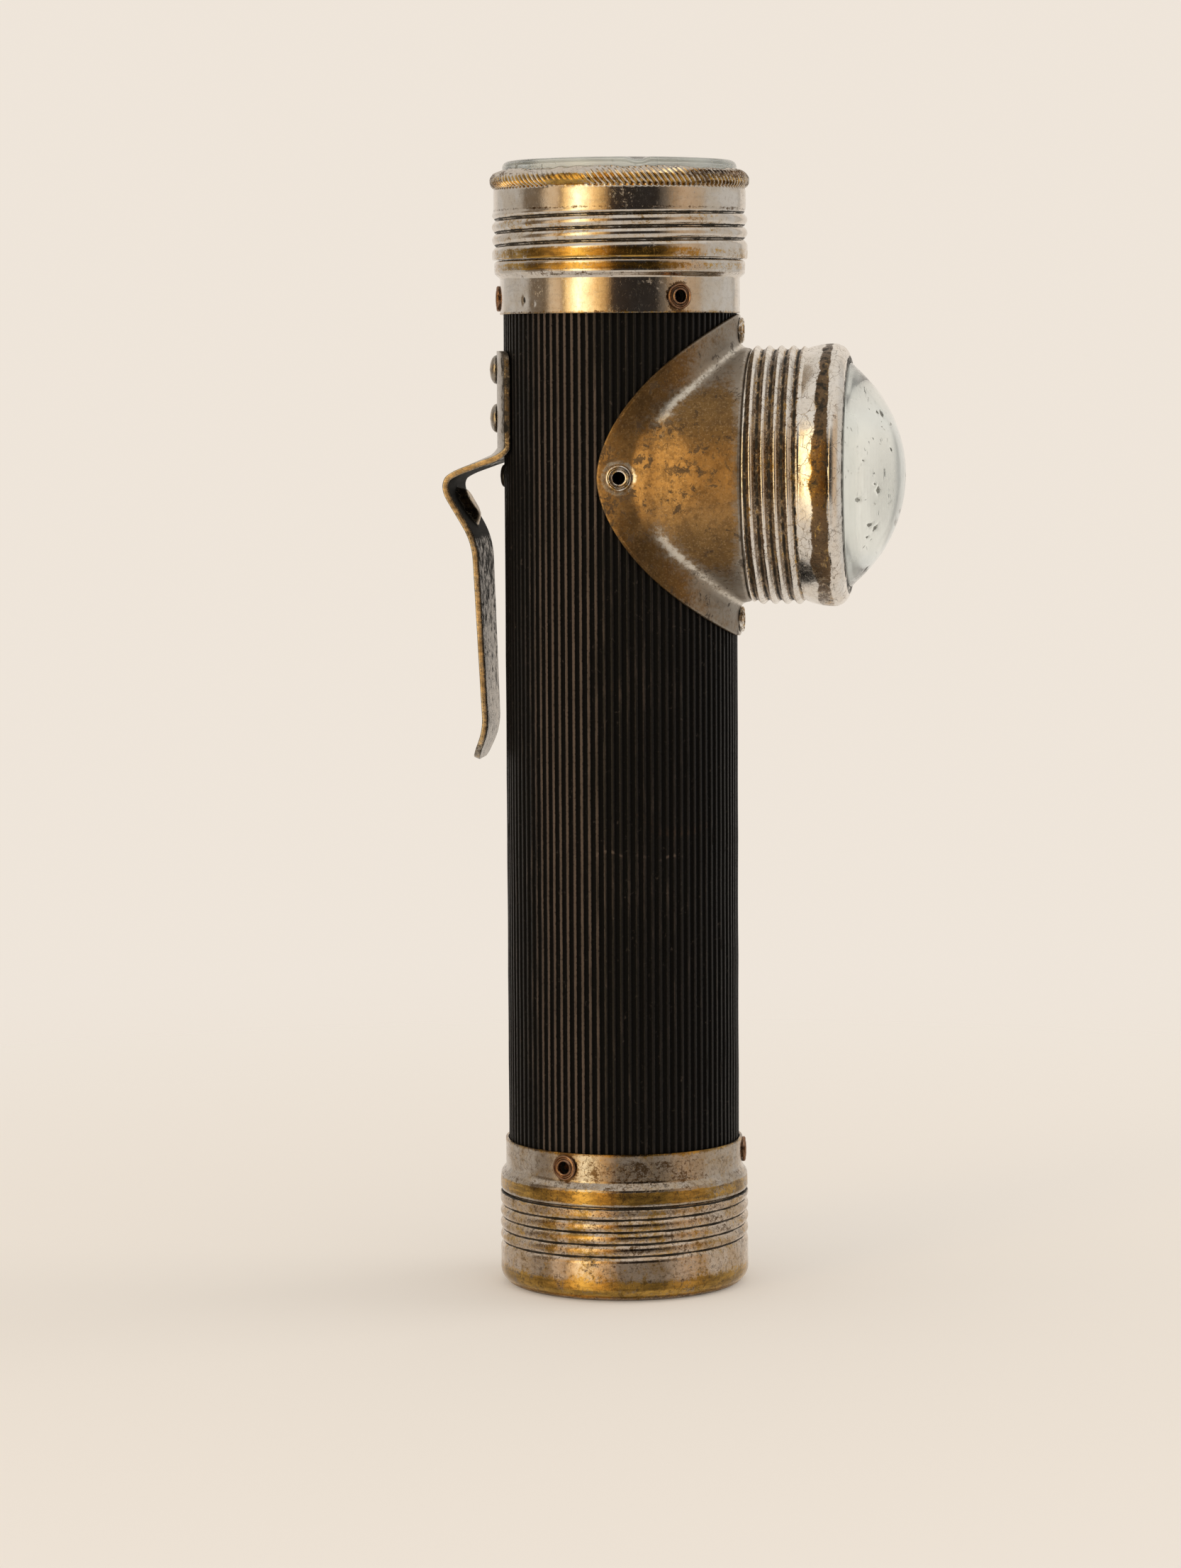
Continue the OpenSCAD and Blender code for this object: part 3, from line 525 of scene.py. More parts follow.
def finish_surface(graph: Graph, inputs: dict[Union[str, int], Input]) -> None:
    """Ends a graph with its surface shader, given that shader's inputs."""
    shader = graph.node("ShaderNodeBsdfPrincipled", inputs)
    graph.node("ShaderNodeOutputMaterial", {0: shader.outputs[0]})


@dataclass(frozen=True)
class WornPlate:
    """Nickel plate over brass, by three marks of the mesh: exposed brass, which on some pieces is also a painted
    highlight; brown tarnish, which on some pieces is also a painted reflection or shade; and black dirt, which on most
    pieces is also painted shade in grooves, gaps and hollows.
    """

    name: str
    plate: Colour = (0.68, 0.635, 0.58)
    brass: Colour = (0.56, 0.335, 0.080)
    tarnish: Colour = (0.125, 0.072, 0.030)
    # Black of dirt, also the colour of painted shade in grooves, gaps and hollows.
    grime: Colour = (0.024, 0.021, 0.016)
    grain: Colour = (0.35, 0.35, 2.2)
    ragged: float = 1.2
    patch: float = 0.3
    polish: float = 0.10
    dull: float = 0.20
    crazed: float = 0.0
    pitted: float = 0.3
    spotted: float = 0.15
    tea: float = 0.5
    smeared: float = 0.55
    shine: float = 0.2
    seed: float = 0.0

    def material(self) -> bpy.types.Material:
        """The node material of this finish."""
        material, g = new_material(self.name)
        at, spun = g.place(shift=self.seed), g.place(self.grain, self.seed + 3)
        cloud, fine = g.noise(at, self.patch, 7, 0.62, 0.5), g.noise(at, 1.7, 6, 0.68)
        smear, speckle = g.noise(spun, 0.5, 7, 0.68, 0.5), g.noise(at, 5.5, 4, 0.7)
        uneven = g.math("MULTIPLY", self.centred(g, cloud), self.ragged)
        for noise, much in ((smear, 0.9), (fine, 1.7), (speckle, 1.1)):
            uneven = g.math("ADD", uneven, g.math("MULTIPLY", self.centred(g, noise), much))
        # Exposed brass, including highlights that some pieces paint as brass.
        bare = g.share(g.math("ADD", g.mark("bare"), uneven), 0.30, 0.74)
        brown = g.share(g.math("SUBTRACT", g.mark("brown"), uneven), 0.42, 0.74)
        blotch = g.noise(at, 0.55, 6, 0.7, 0.4)
        black = g.math("ADD", g.mark("grime"), g.math("MULTIPLY", self.centred(g, fine), 0.7))
        black = g.math("ADD", black, g.math("MULTIPLY", self.centred(g, blotch), 1.8))
        black = g.math("MAXIMUM", g.share(black, 0.38, 0.72), self.pits(g, at))
        plate = g.mix(g.math("MULTIPLY", g.share(cloud, 0.36, 0.62), self.tea), self.plate,
                      tuple(c * t for c, t in zip(self.plate, (0.84, 0.74, 0.60))))
        plate = g.mix(g.math("MULTIPLY", g.share(smear, 0.5, 0.68), self.smeared), plate,
                      tuple(0.66 * c for c in self.plate))
        brass = g.mix(g.share(smear, 0.38, 0.62), tuple(0.5 * c for c in self.brass), self.brass)
        brass = g.mix(g.math("MULTIPLY", g.share(cloud, 0.5, 0.7), 0.6), brass, self.tarnish)
        colour = g.mix(bare, plate, brass)
        colour = g.mix(g.math("MULTIPLY", brown, 0.96), colour, self.tarnish)
        mottle = g.share(g.noise(at, 1.3, 7, 0.8, 0.4), 0.535, 0.575)
        colour = g.mix(g.math("MULTIPLY", mottle, self.spotted), colour, self.tarnish)
        craze = self.crazing(g, at)
        colour = g.mix(g.math("MULTIPLY", craze, 0.8), colour, self.tarnish)
        colour = g.mix(black, colour, self.grime)
        rough = g.math("ADD", g.between(g.math("MAXIMUM", bare, brown), self.polish, self.dull),
                       g.math("MULTIPLY", self.centred(g, smear), 0.22))
        scuff = g.share(g.noise(g.place((1, 1, 0.45), self.seed + 5), 2.6, 5, 0.8), 0.57, 0.61)
        rough = g.math("ADD", rough, g.math("MULTIPLY", g.math("MAXIMUM", black, g.math("MULTIPLY", scuff, 0.5)), 0.35),
                       True)
        normal = g.bump(fine, 0.010)
        normal = g.bump(g.math("SUBTRACT", 1.0, g.math("MAXIMUM", craze, black)), 0.012, normal)
        finish_surface(g, {"Base Color": colour, "Roughness": rough, "Normal": normal,
                           "Metallic": g.between(black, 1.0, 0.1), "Specular IOR Level": self.shine})
        return material

    @staticmethod
    def centred(g: Graph, noise: Socket) -> Socket:
        """Noise moved so that its middle is 0."""
        return g.math("SUBTRACT", noise, 0.5)

    def pits(self, g: Graph, at: Socket) -> Socket:
        """Small dark corroded specks, in groups."""
        group = g.share(g.noise(at, 0.16, 4), 0.66 - 0.3 * self.pitted, 0.76 - 0.2 * self.pitted)
        group = g.math("MAXIMUM", group, g.share(g.mark("brown"), 0.35, 0.7))
        specks = g.share(g.noise(at, 1.25, 6, 0.8, 0.5), 0.565, 0.60)
        return g.math("MULTIPLY", specks, g.math("MULTIPLY", group, 0.66))

    def crazing(self, g: Graph, at: Socket) -> Socket:
        """Fine dark cracks and scratches in the plate, in patches."""
        crack = g.cracks(at, 0.42, 0.022)
        where = g.share(g.noise(at, 0.22, 3), 0.58 - 0.3 * self.crazed, 0.72 - 0.25 * self.crazed)
        return g.math("MULTIPLY", g.math("MULTIPLY", crack, where), min(1.0, 2 * self.crazed))


@dataclass(frozen=True)
class SaddleBrass:
    """Brown old brass, with grey rests of plate where the mesh is marked silver, and a painted highlight: lighter brass
    at mid-height, darker olive above and below.
    """

    name: str = "tarnished_brass"
    brass: Colour = (0.40, 0.235, 0.088)
    olive_shaded: Colour = (0.205, 0.120, 0.044)
    brown: Colour = (0.115, 0.066, 0.030)
    silver: Colour = (0.34, 0.30, 0.25)
    bright: Colour = (0.66, 0.61, 0.53)
    pale: Colour = (0.56, 0.40, 0.22)
    dark: Colour = (0.045, 0.030, 0.020)

    def material(self) -> bpy.types.Material:
        """The node material of this finish."""
        material, g = new_material(self.name)
        at = g.place(shift=11)
        cloud, fine = g.noise(at, 0.12, 7, 0.62, 0.8), g.noise(at, 1.4, 7, 0.7)
        wipe = g.noise(g.place((0.25, 0.8, 1.6), 4), 0.45, 7, 0.68, 0.6)
        # Painted highlight: lighter brass along the mid-height band, darker olive above and below.
        golden = g.math("ADD", g.mark("golden"), g.math("MULTIPLY", WornPlate.centred(g, cloud), 1.8))
        colour = g.mix(g.share(golden, -0.1, 1.0), self.olive_shaded, self.brass)
        colour = g.mix(g.math("MULTIPLY", g.share(wipe, 0.50, 0.66), 0.25), colour, self.brown)
        colour = g.mix(g.math("MULTIPLY", g.share(g.noise(at, 0.5, 7, 0.75), 0.47, 0.58), 0.45), colour, self.brown)
        colour = g.mix(g.math("MULTIPLY", g.share(fine, 0.50, 0.60), 0.22), colour, self.brown)
        colour = g.mix(g.math("MULTIPLY", g.share(g.noise(at, 3.0, 4, 0.7), 0.54, 0.62), 0.3), colour, self.pale)
        worn = g.math("ADD", g.math("MULTIPLY", WornPlate.centred(g, wipe), 0.9),
                      g.math("MULTIPLY", WornPlate.centred(g, fine), 1.5))
        grey = g.share(g.math("ADD", g.mark("silver"), worn), 0.2, 1.05)
        colour = g.mix(grey, colour, self.silver)
        # Bright plate, which along the creases' cores is a painted highlight.
        streak = g.share(g.math("ADD", g.mark("bright"), worn), 0.35, 0.95)
        colour = g.mix(streak, colour, self.bright)
        stain = self.stains(g, at)
        colour = g.mix(stain, colour, self.dark)
        rough = g.math("ADD", g.between(streak, 0.40, 0.22), g.math("MULTIPLY", WornPlate.centred(g, fine), 0.35))
        rough = g.math("ADD", rough, g.math("MULTIPLY", stain, 0.25), True)
        normal = g.bump(fine, 0.020)
        normal = g.bump(g.noise(at, 0.3, 3), 0.07, normal)
        normal = g.bump(g.math("SUBTRACT", 1.0, stain), 0.02, normal)
        finish_surface(g, {"Base Color": colour, "Roughness": rough, "Normal": normal,
                           "Metallic": g.between(stain, 0.9, 0.4)})
        return material

    @staticmethod
    def stains(g: Graph, at: Socket) -> Socket:
        """Dark specks in groups, a few ragged blots and short scratches."""
        group = g.share(g.noise(at, 0.10, 3, 0.5, 0.8), 0.48, 0.60)
        more = g.math("MULTIPLY", g.mark("stained"), 0.075)
        group = g.math("MAXIMUM", group, g.mark("stained"))
        specks = g.share(g.math("ADD", g.noise(at, 0.8, 7, 0.76, 0.4), more), 0.575, 0.595)
        specks = g.math("MULTIPLY", specks, g.between(group, 0.08, 0.75))
        fleck = g.share(g.noise(at, 1.9, 4, 0.7), 0.625, 0.65)
        specks = g.math("MAXIMUM", specks, g.math("MULTIPLY", fleck, 0.5))
        blots = g.math("MULTIPLY", g.share(g.noise(at, 0.30, 6, 0.70, 0.5), 0.603, 0.620), 0.68)
        scratch = g.math("MULTIPLY", g.lines(g.place((1, 1, 0.3), 7), 0.3, 0.0040, 0.1),
                         g.math("MULTIPLY", g.share(cloudy_patch(g), 0.5, 0.6), 0.5))
        return g.math("MAXIMUM", g.math("MAXIMUM", specks, blots), scratch)


def cloudy_patch(g: Graph) -> Socket:
    """Broad noise that says where scratches are."""
    return g.noise(g.place(shift=19), 0.14, 2)


@dataclass(frozen=True)
class Fibre:
    """Vulcanised fibre: nearly black, brown and a little shiny on the ribs' crests; part of the brown is a painted warm
    highlight.
    """

    name: str
    dark: Colour = (0.0016, 0.0014, 0.0013)
    crest: Colour = (0.0100, 0.0088, 0.0081)
    rubbed: Colour = (0.090, 0.066, 0.052)
    gloss: float = 0.34

    def material(self) -> bpy.types.Material:
        """The node material of this finish."""
        material, g = new_material(self.name)
        at, along = g.place(), g.place((1, 1, 0.1))
        streak, fine = g.noise(along, 1.3, 5, 0.65), g.noise(at, 2.6, 6, 0.72)
        crest = g.share(g.math("ADD", g.mark("crest"), g.math("MULTIPLY", WornPlate.centred(g, fine), 0.6)), 0.83, 0.98)
        rub = g.math("ADD", g.mark("rubbed"), g.math("MULTIPLY", WornPlate.centred(g, g.noise(at, 0.05, 5, 0.6)), 0.9))
        rub = g.math("ADD", rub, g.math("MULTIPLY", WornPlate.centred(g, streak), 1.9))
        # Brown on the crests, in part a painted warm highlight.
        colour = g.mix(g.share(rub, 0.1, 1.1), self.crest, self.rubbed)
        colour = g.mix(crest, self.dark, colour)
        stain = g.math("MULTIPLY", g.share(g.noise(at, 0.045, 6, 0.7, 0.8), 0.60, 0.72), 0.3)
        colour = g.mix(g.math("MULTIPLY", stain, crest), colour, (0.085, 0.042, 0.018))
        dust = g.share(g.noise(at, 0.9, 7, 0.8, 0.5), 0.61, 0.65)
        colour = g.mix(g.math("MULTIPLY", dust, 0.3), colour, (0.12, 0.095, 0.075))
        rough = g.math("ADD", g.between(crest, 0.9, self.gloss),
                       g.math("MULTIPLY", g.math("SUBTRACT", fine, 0.5), 0.3), True)
        normal = g.bump(streak, 0.035)
        normal = g.bump(fine, 0.045, normal)
        finish_surface(g, {"Base Color": colour, "Roughness": rough, "Normal": normal,
                           "Specular IOR Level": 0.2})
        return material


@dataclass(frozen=True)
class ClearGlass:
    """Old pressed glass with a few chips and specks, frosted where the mesh is marked so; round a crown's edge that
    frosting is a painted pale reflection.
    """

    name: str
    tint: Colour = (0.93, 0.975, 0.95)
    ground: Colour = (0.78, 0.82, 0.78)
    chips: float = 0.5

    def material(self) -> bpy.types.Material:
        """The node material of this finish."""
        material, g = new_material(self.name)
        at = g.place(shift=2)
        where = g.share(g.noise(at, 0.12, 3), 0.42, 0.54)
        stroke = g.place((1.0, 1.3, 0.55), 9)
        chip = g.share(g.noise(stroke, 0.75, 3, 0.55, 0.8), 0.685, 0.705)
        speck = g.share(g.noise(at, 2.0, 4, 0.6, 0.5), 0.70, 0.73)
        harm = g.math("MAXIMUM", chip, g.math("MULTIPLY", speck, 0.7))
        harm = g.math("MULTIPLY", g.math("MULTIPLY", harm, g.between(where, 0.3, 1.0)), 2 * self.chips, True)
        ragged = g.math("ADD", g.mark("chipped"), g.math("MULTIPLY", WornPlate.centred(g, g.noise(at, 3.5, 4, 0.7)), 2.4))
        harm = g.math("MAXIMUM", harm, g.math("MULTIPLY", g.share(ragged, 0.35, 0.75), g.share(g.mark("chipped"), 0.05, 0.3)))
        # Frosted glass under the lip, and a painted pale reflection round the crown's edge.
        edge = g.mark("ground")
        colour = g.mix(harm, self.tint, (0.22, 0.22, 0.19))
        colour = g.mix(edge, colour, self.ground)
        normal = g.bump(g.noise(at, 0.16, 2), 0.05)
        normal = g.bump(g.math("SUBTRACT", 1.0, harm), 0.05, normal)
        rough = g.math("ADD", g.between(g.math("MAXIMUM", harm, edge), 0.015, 0.5),
                       g.math("MULTIPLY", g.noise(at, 0.6), 0.03))
        clear = g.between(g.math("MAXIMUM", edge, g.math("MULTIPLY", harm, 0.6)), 1.0, 0.0)
        finish_surface(g, {"Base Color": colour, "Roughness": rough, "Normal": normal,
                           "Transmission Weight": clear, "IOR": 1.5})
        return material


@dataclass(frozen=True)
class PlainMetal:
    """Metal that was never plated, or is worn evenly: contacts, springs, reflectors."""

    name: str
    bright: Colour
    dull: Colour
    rough: float = 0.3
    grain: float = 0.01

    def material(self) -> bpy.types.Material:
        """The node material of this finish."""
        material, g = new_material(self.name)
        at = g.place(shift=4)
        cloud, fine = g.noise(at, 0.25, 6, 0.6, 0.5), g.noise(at, 2.0, 4, 0.7)
        colour = g.mix(g.share(cloud, 0.4, 0.66), self.bright, self.dull)
        rough = g.math("ADD", self.rough - 0.08, g.math("MULTIPLY", fine, 0.16), True)
        finish_surface(g, {"Base Color": colour, "Roughness": rough, "Metallic": 1.0,
                           "Normal": g.bump(fine, self.grain)})
        return material


@dataclass(frozen=True)
class Lacquer:
    """A matt or painted surface with a little mottling: carton, fibre block, black rivets."""

    name: str
    colour: Colour
    shade: Colour
    rough: float = 0.5

    def material(self) -> bpy.types.Material:
        """The node material of this finish."""
        material, g = new_material(self.name)
        at = g.place(shift=8)
        cloud, fine = g.noise(at, 0.3, 6, 0.6, 0.4), g.noise(at, 2.5, 4, 0.7)
        finish_surface(g, {"Base Color": g.mix(g.share(cloud, 0.4, 0.65), self.colour, self.shade),
                           "Roughness": g.between(fine, self.rough - 0.1, self.rough + 0.1),
                           "Normal": g.bump(fine, 0.02)})
        return material


class Finishes:
    """The materials of the flashlight, each made once."""

    def __init__(self) -> None:
        """Makes every material."""
        self.made = {f.name: f.material() for f in (
            WornPlate("bright_nickel", crazed=0.12),
            WornPlate("head_nickel", plate=(0.84, 0.805, 0.755), tea=0.3, smeared=0.25, polish=0.19, dull=0.26, ragged=1.5,
                      grain=(2.2, 0.35, 0.35), crazed=0.8, pitted=0.45, spotted=0.22, seed=21.0),
            WornPlate("grey_nickel", plate=(0.50, 0.445, 0.385), polish=0.13, dull=0.22, ragged=1.5,
                      crazed=0.4, pitted=0.9, spotted=0.5, tea=0.8, seed=33.0),
            WornPlate("mottled_brass", plate=(0.64, 0.54, 0.445), polish=0.10, dull=0.18,
                      ragged=1.6, patch=0.24, crazed=0.3, pitted=0.8, spotted=0.55, tea=0.9, seed=40.0),
            WornPlate("copper_eyelet", plate=(0.33, 0.20, 0.13), brass=(0.30, 0.16, 0.09),
                      polish=0.24, dull=0.34, seed=55.0),
            WornPlate("clip_steel", plate=(0.36, 0.325, 0.28), brass=(0.62, 0.47, 0.29),
                      tarnish=(0.095, 0.074, 0.054), shine=0.04, polish=0.24, dull=0.3, pitted=0.5, spotted=0.4, seed=70.0),
            SaddleBrass(),
            Fibre("black_fibre"),
            ClearGlass("pressed_glass"),
            ClearGlass("lamp_glass", tint=(0.97, 0.98, 0.97), chips=0.0),
            PlainMetal("silvered", (0.86, 0.86, 0.83), (0.78, 0.77, 0.72), 0.12, 0.004),
            PlainMetal("plain_brass", (0.62, 0.45, 0.2), (0.4, 0.26, 0.1), 0.32),
            PlainMetal("spring_wire", (0.6, 0.57, 0.5), (0.42, 0.38, 0.3), 0.34),
            PlainMetal("lamp_wire", (0.55, 0.50, 0.42), (0.30, 0.27, 0.22), 0.34),
            Lacquer("black_lacquer", (0.012, 0.011, 0.01), (0.03, 0.022, 0.018), 0.3),
            Lacquer("red_fibre", (0.28, 0.095, 0.06), (0.19, 0.06, 0.045), 0.5),
            Lacquer("waxed_carton", (0.42, 0.27, 0.16), (0.3, 0.18, 0.1), 0.42))}

    def __getitem__(self, name: str) -> bpy.types.Material:
        """The material of that name."""
        return self.made[name]


def settle(piece: bpy.types.Object, material: bpy.types.Material, slot: str, body: Body,
           *nodes: str) -> bpy.types.Object:
    """Gives a finished piece its material, body and the nodes that it stands for.

    Args:
        piece: the object.
        material: its material.
        slot: the record's material slot; not used.
        body: the group that it moves with.
        *nodes: the nodes that it replaces.

    Returns:
        The piece.
    """
    piece.data.materials.clear()
    piece.data.materials.append(material)
    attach(piece, body.value)
    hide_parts(*nodes)
    log.info("%s: %d points, for %s", piece.name, len(piece.data.vertices), ", ".join(nodes))
    return piece


def dress(node: str, material: bpy.types.Material) -> None:
    """Gives a node that keeps its shape a finish."""
    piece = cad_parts[node]
    piece.data.materials.clear()
    piece.data.materials.append(material)
    log.info("%s: kept, in %s", node, material.name)


Marks = dict[str, np.ndarray]


def near(theta: np.ndarray, z: np.ndarray, radius: float, bearing: float, height: float,
         reach: float) -> np.ndarray:
    """Share that falls from 1 at a spot of a round surface to 0 at a distance from it.

    Args:
        theta: angles round the axis.
        z: places along it.
        radius: the surface's radius.
        bearing: the spot's angle in degrees.
        height: the spot's place along the axis.
        reach: the distance.

    Returns:
        The shares.
    """
    away = ((theta - math.radians(bearing) + math.pi) % TAU - math.pi) * radius
    return 1 - smooth(np.hypot(away, z - height), 0.55 * reach, reach)


@dataclass
class Spun:
    """A piece turned round an axis: a closed outline, reshaped where its outside isn't plain."""

    steps: int = 720
    grain: float = 0.3
    kinds: ClassVar[tuple[str, ...]] = ("bare", "brown", "grime")

    def outline(self) -> tuple[list[list[float]], list[list[float]]]:
        """The closed outline as [radius, height]: its outside, and the rest of it."""
        raise NotImplementedError

    def reshape(self, theta: np.ndarray, r: np.ndarray, z: np.ndarray) -> \
            tuple[np.ndarray, np.ndarray, Marks]:
        """New radii, heights and marks of the outside, which are plain unless a piece says more."""
        return r, z, {}

    def shell(self) -> Shell:
        """The spun mesh, drawn along +Z."""
        outside, rest = self.outline()
        out = refine(outside, self.grain)
        inner = refine([outside[-1], *rest, outside[0]], 3.0)[1:-1]
        theta = (np.arange(self.steps) * TAU / self.steps)[:, None]
        r, z, given = self.reshape(theta, out[None, :, 0], out[None, :, 1])
        plain, full = np.zeros((self.steps, len(inner))), np.zeros((self.steps, len(out)))
        r = np.concatenate([r + full, plain + inner[:, 0]], 1)
        z = np.concatenate([z + full, plain + inner[:, 1]], 1)
        marks = {k: np.concatenate([given.get(k, 0.0) + full, plain], 1)
                 for k in self.kinds}
        points = np.stack([r * np.cos(theta), r * np.sin(theta), z], -1)
        return Shell.grid(points, True, True, marks)


@dataclass
class EndBezel(Spun):
    """End bezel: foot band, three rolled grooves, smooth band and a rope-milled rim."""

    steps: int = 1064
    grain: float = 0.12
    high: float = 14.5
    screw_r: float = 19.65
    root_r: float = 20.05
    crest_r: float = 20.75
    band_r: float = 20.5
    rim_r: float = 21.14
    eye_r: float = 19.05
    lip_t: float = 1.1
    roll_z: float = 12.5
    teeth: int = 133
    tooth: float = 0.42
    slant: float = 0.040

    def outline(self) -> tuple[list[list[float]], list[list[float]]]:
        """The outside from the foot up over the rim to the eye, and the bore."""
        deep = self.rim_r - self.eye_r
        rim = [[self.eye_r + deep * math.cos(a), self.roll_z + (1.4 if a < 0 else 2.0) * math.sin(a)]
               for a in np.radians(np.linspace(-50, 86, 28))]
        outside = [[self.crest_r - 0.15, 0], [self.crest_r, 0.18], [self.band_r, 8.0],
                   [self.band_r, 10.9], *rim, [self.eye_r, self.high - 0.35]]
        return outside, [[self.eye_r, self.high - self.lip_t],
                         [self.screw_r, self.high - self.lip_t], [self.screw_r, 0]]

    def reshape(self, theta: np.ndarray, r: np.ndarray, z: np.ndarray) -> \
            tuple[np.ndarray, np.ndarray, Marks]:
        """Rolls the thread, mills the rim and adds a few knocks."""
        thread = RolledThread(z=2.65, pitch=2.1, count=3, sharp=0.8)
        groove = thread.groove(theta, z)
        land = self.crest_r + (self.band_r - self.crest_r) * smooth(z, 7.1, 7.9)
        body = np.where((z > 0.1) & (z < 10.9), land - (land - self.root_r) * groove, r)
        on_rim = smooth(z, 11.0, 11.7) * (1 - smooth(z, 14.28, 14.46))
        rope = np.cos(self.teeth * (theta + self.slant * (z - self.roll_z)))
        rope = np.sign(rope) * np.abs(rope) ** 0.8
        ragged = Ripple(5, 0.35, 61, 1.4, 30).at(theta, z)
        crushed = smooth(np.cos(theta - math.radians(-107)), 0.965, 0.995)
        share = np.clip(0.85 + ragged, 0.25, 1.2) * (1 - 0.85 * crushed)
        radius = body + self.tooth * (0.5 * rope - 0.5) * on_rim * share
        radius = radius - 0.10 * np.abs(Ripple(6, 1.0, 90, 2.5, 40).at(theta, z)) * on_rim
        radius = radius + Ripple(8, 0.03).at(theta, z) * smooth(z, 0.0, 0.6)
        for dent in (Dent(-118, 9.6, 2.4, 1.2, 0.05), Dent(-80, 13.6, 1.8, 0.8, 0.25),
                     Dent(-66, 13.9, 1.2, 0.6, 0.2), Dent(-30, 9.0, 3.0, 1.6, 0.05),
                     Dent(120, 9.4, 4.0, 1.8, 0.08)):
            radius = radius - dent.at(theta, z, self.band_r)
        radius = radius - 0.25 * crushed * smooth(z, 12.6, 13.6) * np.abs(Ripple(18, 1.0, 150, 2.0, 30).at(theta, z))
        height = z - 0.34 * smooth(z, 13.8, 14.4) * np.abs(Ripple(16, 1.0, 61, 0.0, 30).at(theta, 0 * z))
        crest = smooth(rope, 0.3, 0.85) * (1 - crushed)
        gold = on_rim * (0.85 - 1.0 * crest) * (1 - smooth(z, 12.9, 13.6))
        # Painted warm light: more brass on the ridges towards the left of the front, where the warm lamp falls.
        left = 0.5 + 0.5 * np.cos(theta - math.radians(-128))
        # Painted highlight: more brass and less tarnish on the foot band and rim where the warm highlight lies.
        painted_highlight = smooth(np.cos(theta - math.radians(-100)), 0.5, 0.95)
        foot = (1 - smooth(z, 1.3, 2.0)) * (0.36 + 0.54 * painted_highlight)
        ridges = (0.12 + 0.16 * left) * smooth(z, 1.7, 2.6) * (1 - smooth(z, 7.0, 7.6))
        lower = np.exp(-((z - 7.9) / 0.28) ** 2)
        # The dark in the grooves and between the rope's teeth is painted shade, partly dirt.
        marks = {"bare": gold + foot + ridges, "brown": 0.55 * lower + 0.3 * foot * smooth(z, 0.9, 1.4) + (0.50 - 0.22 * painted_highlight) * on_rim,
                 "grime": smooth(thread.groove(theta, z - 0.14), 0.55, 0.9) + 0.3 * on_rim * smooth(-rope, 0.5, 1.0)}
        return radius, height, marks


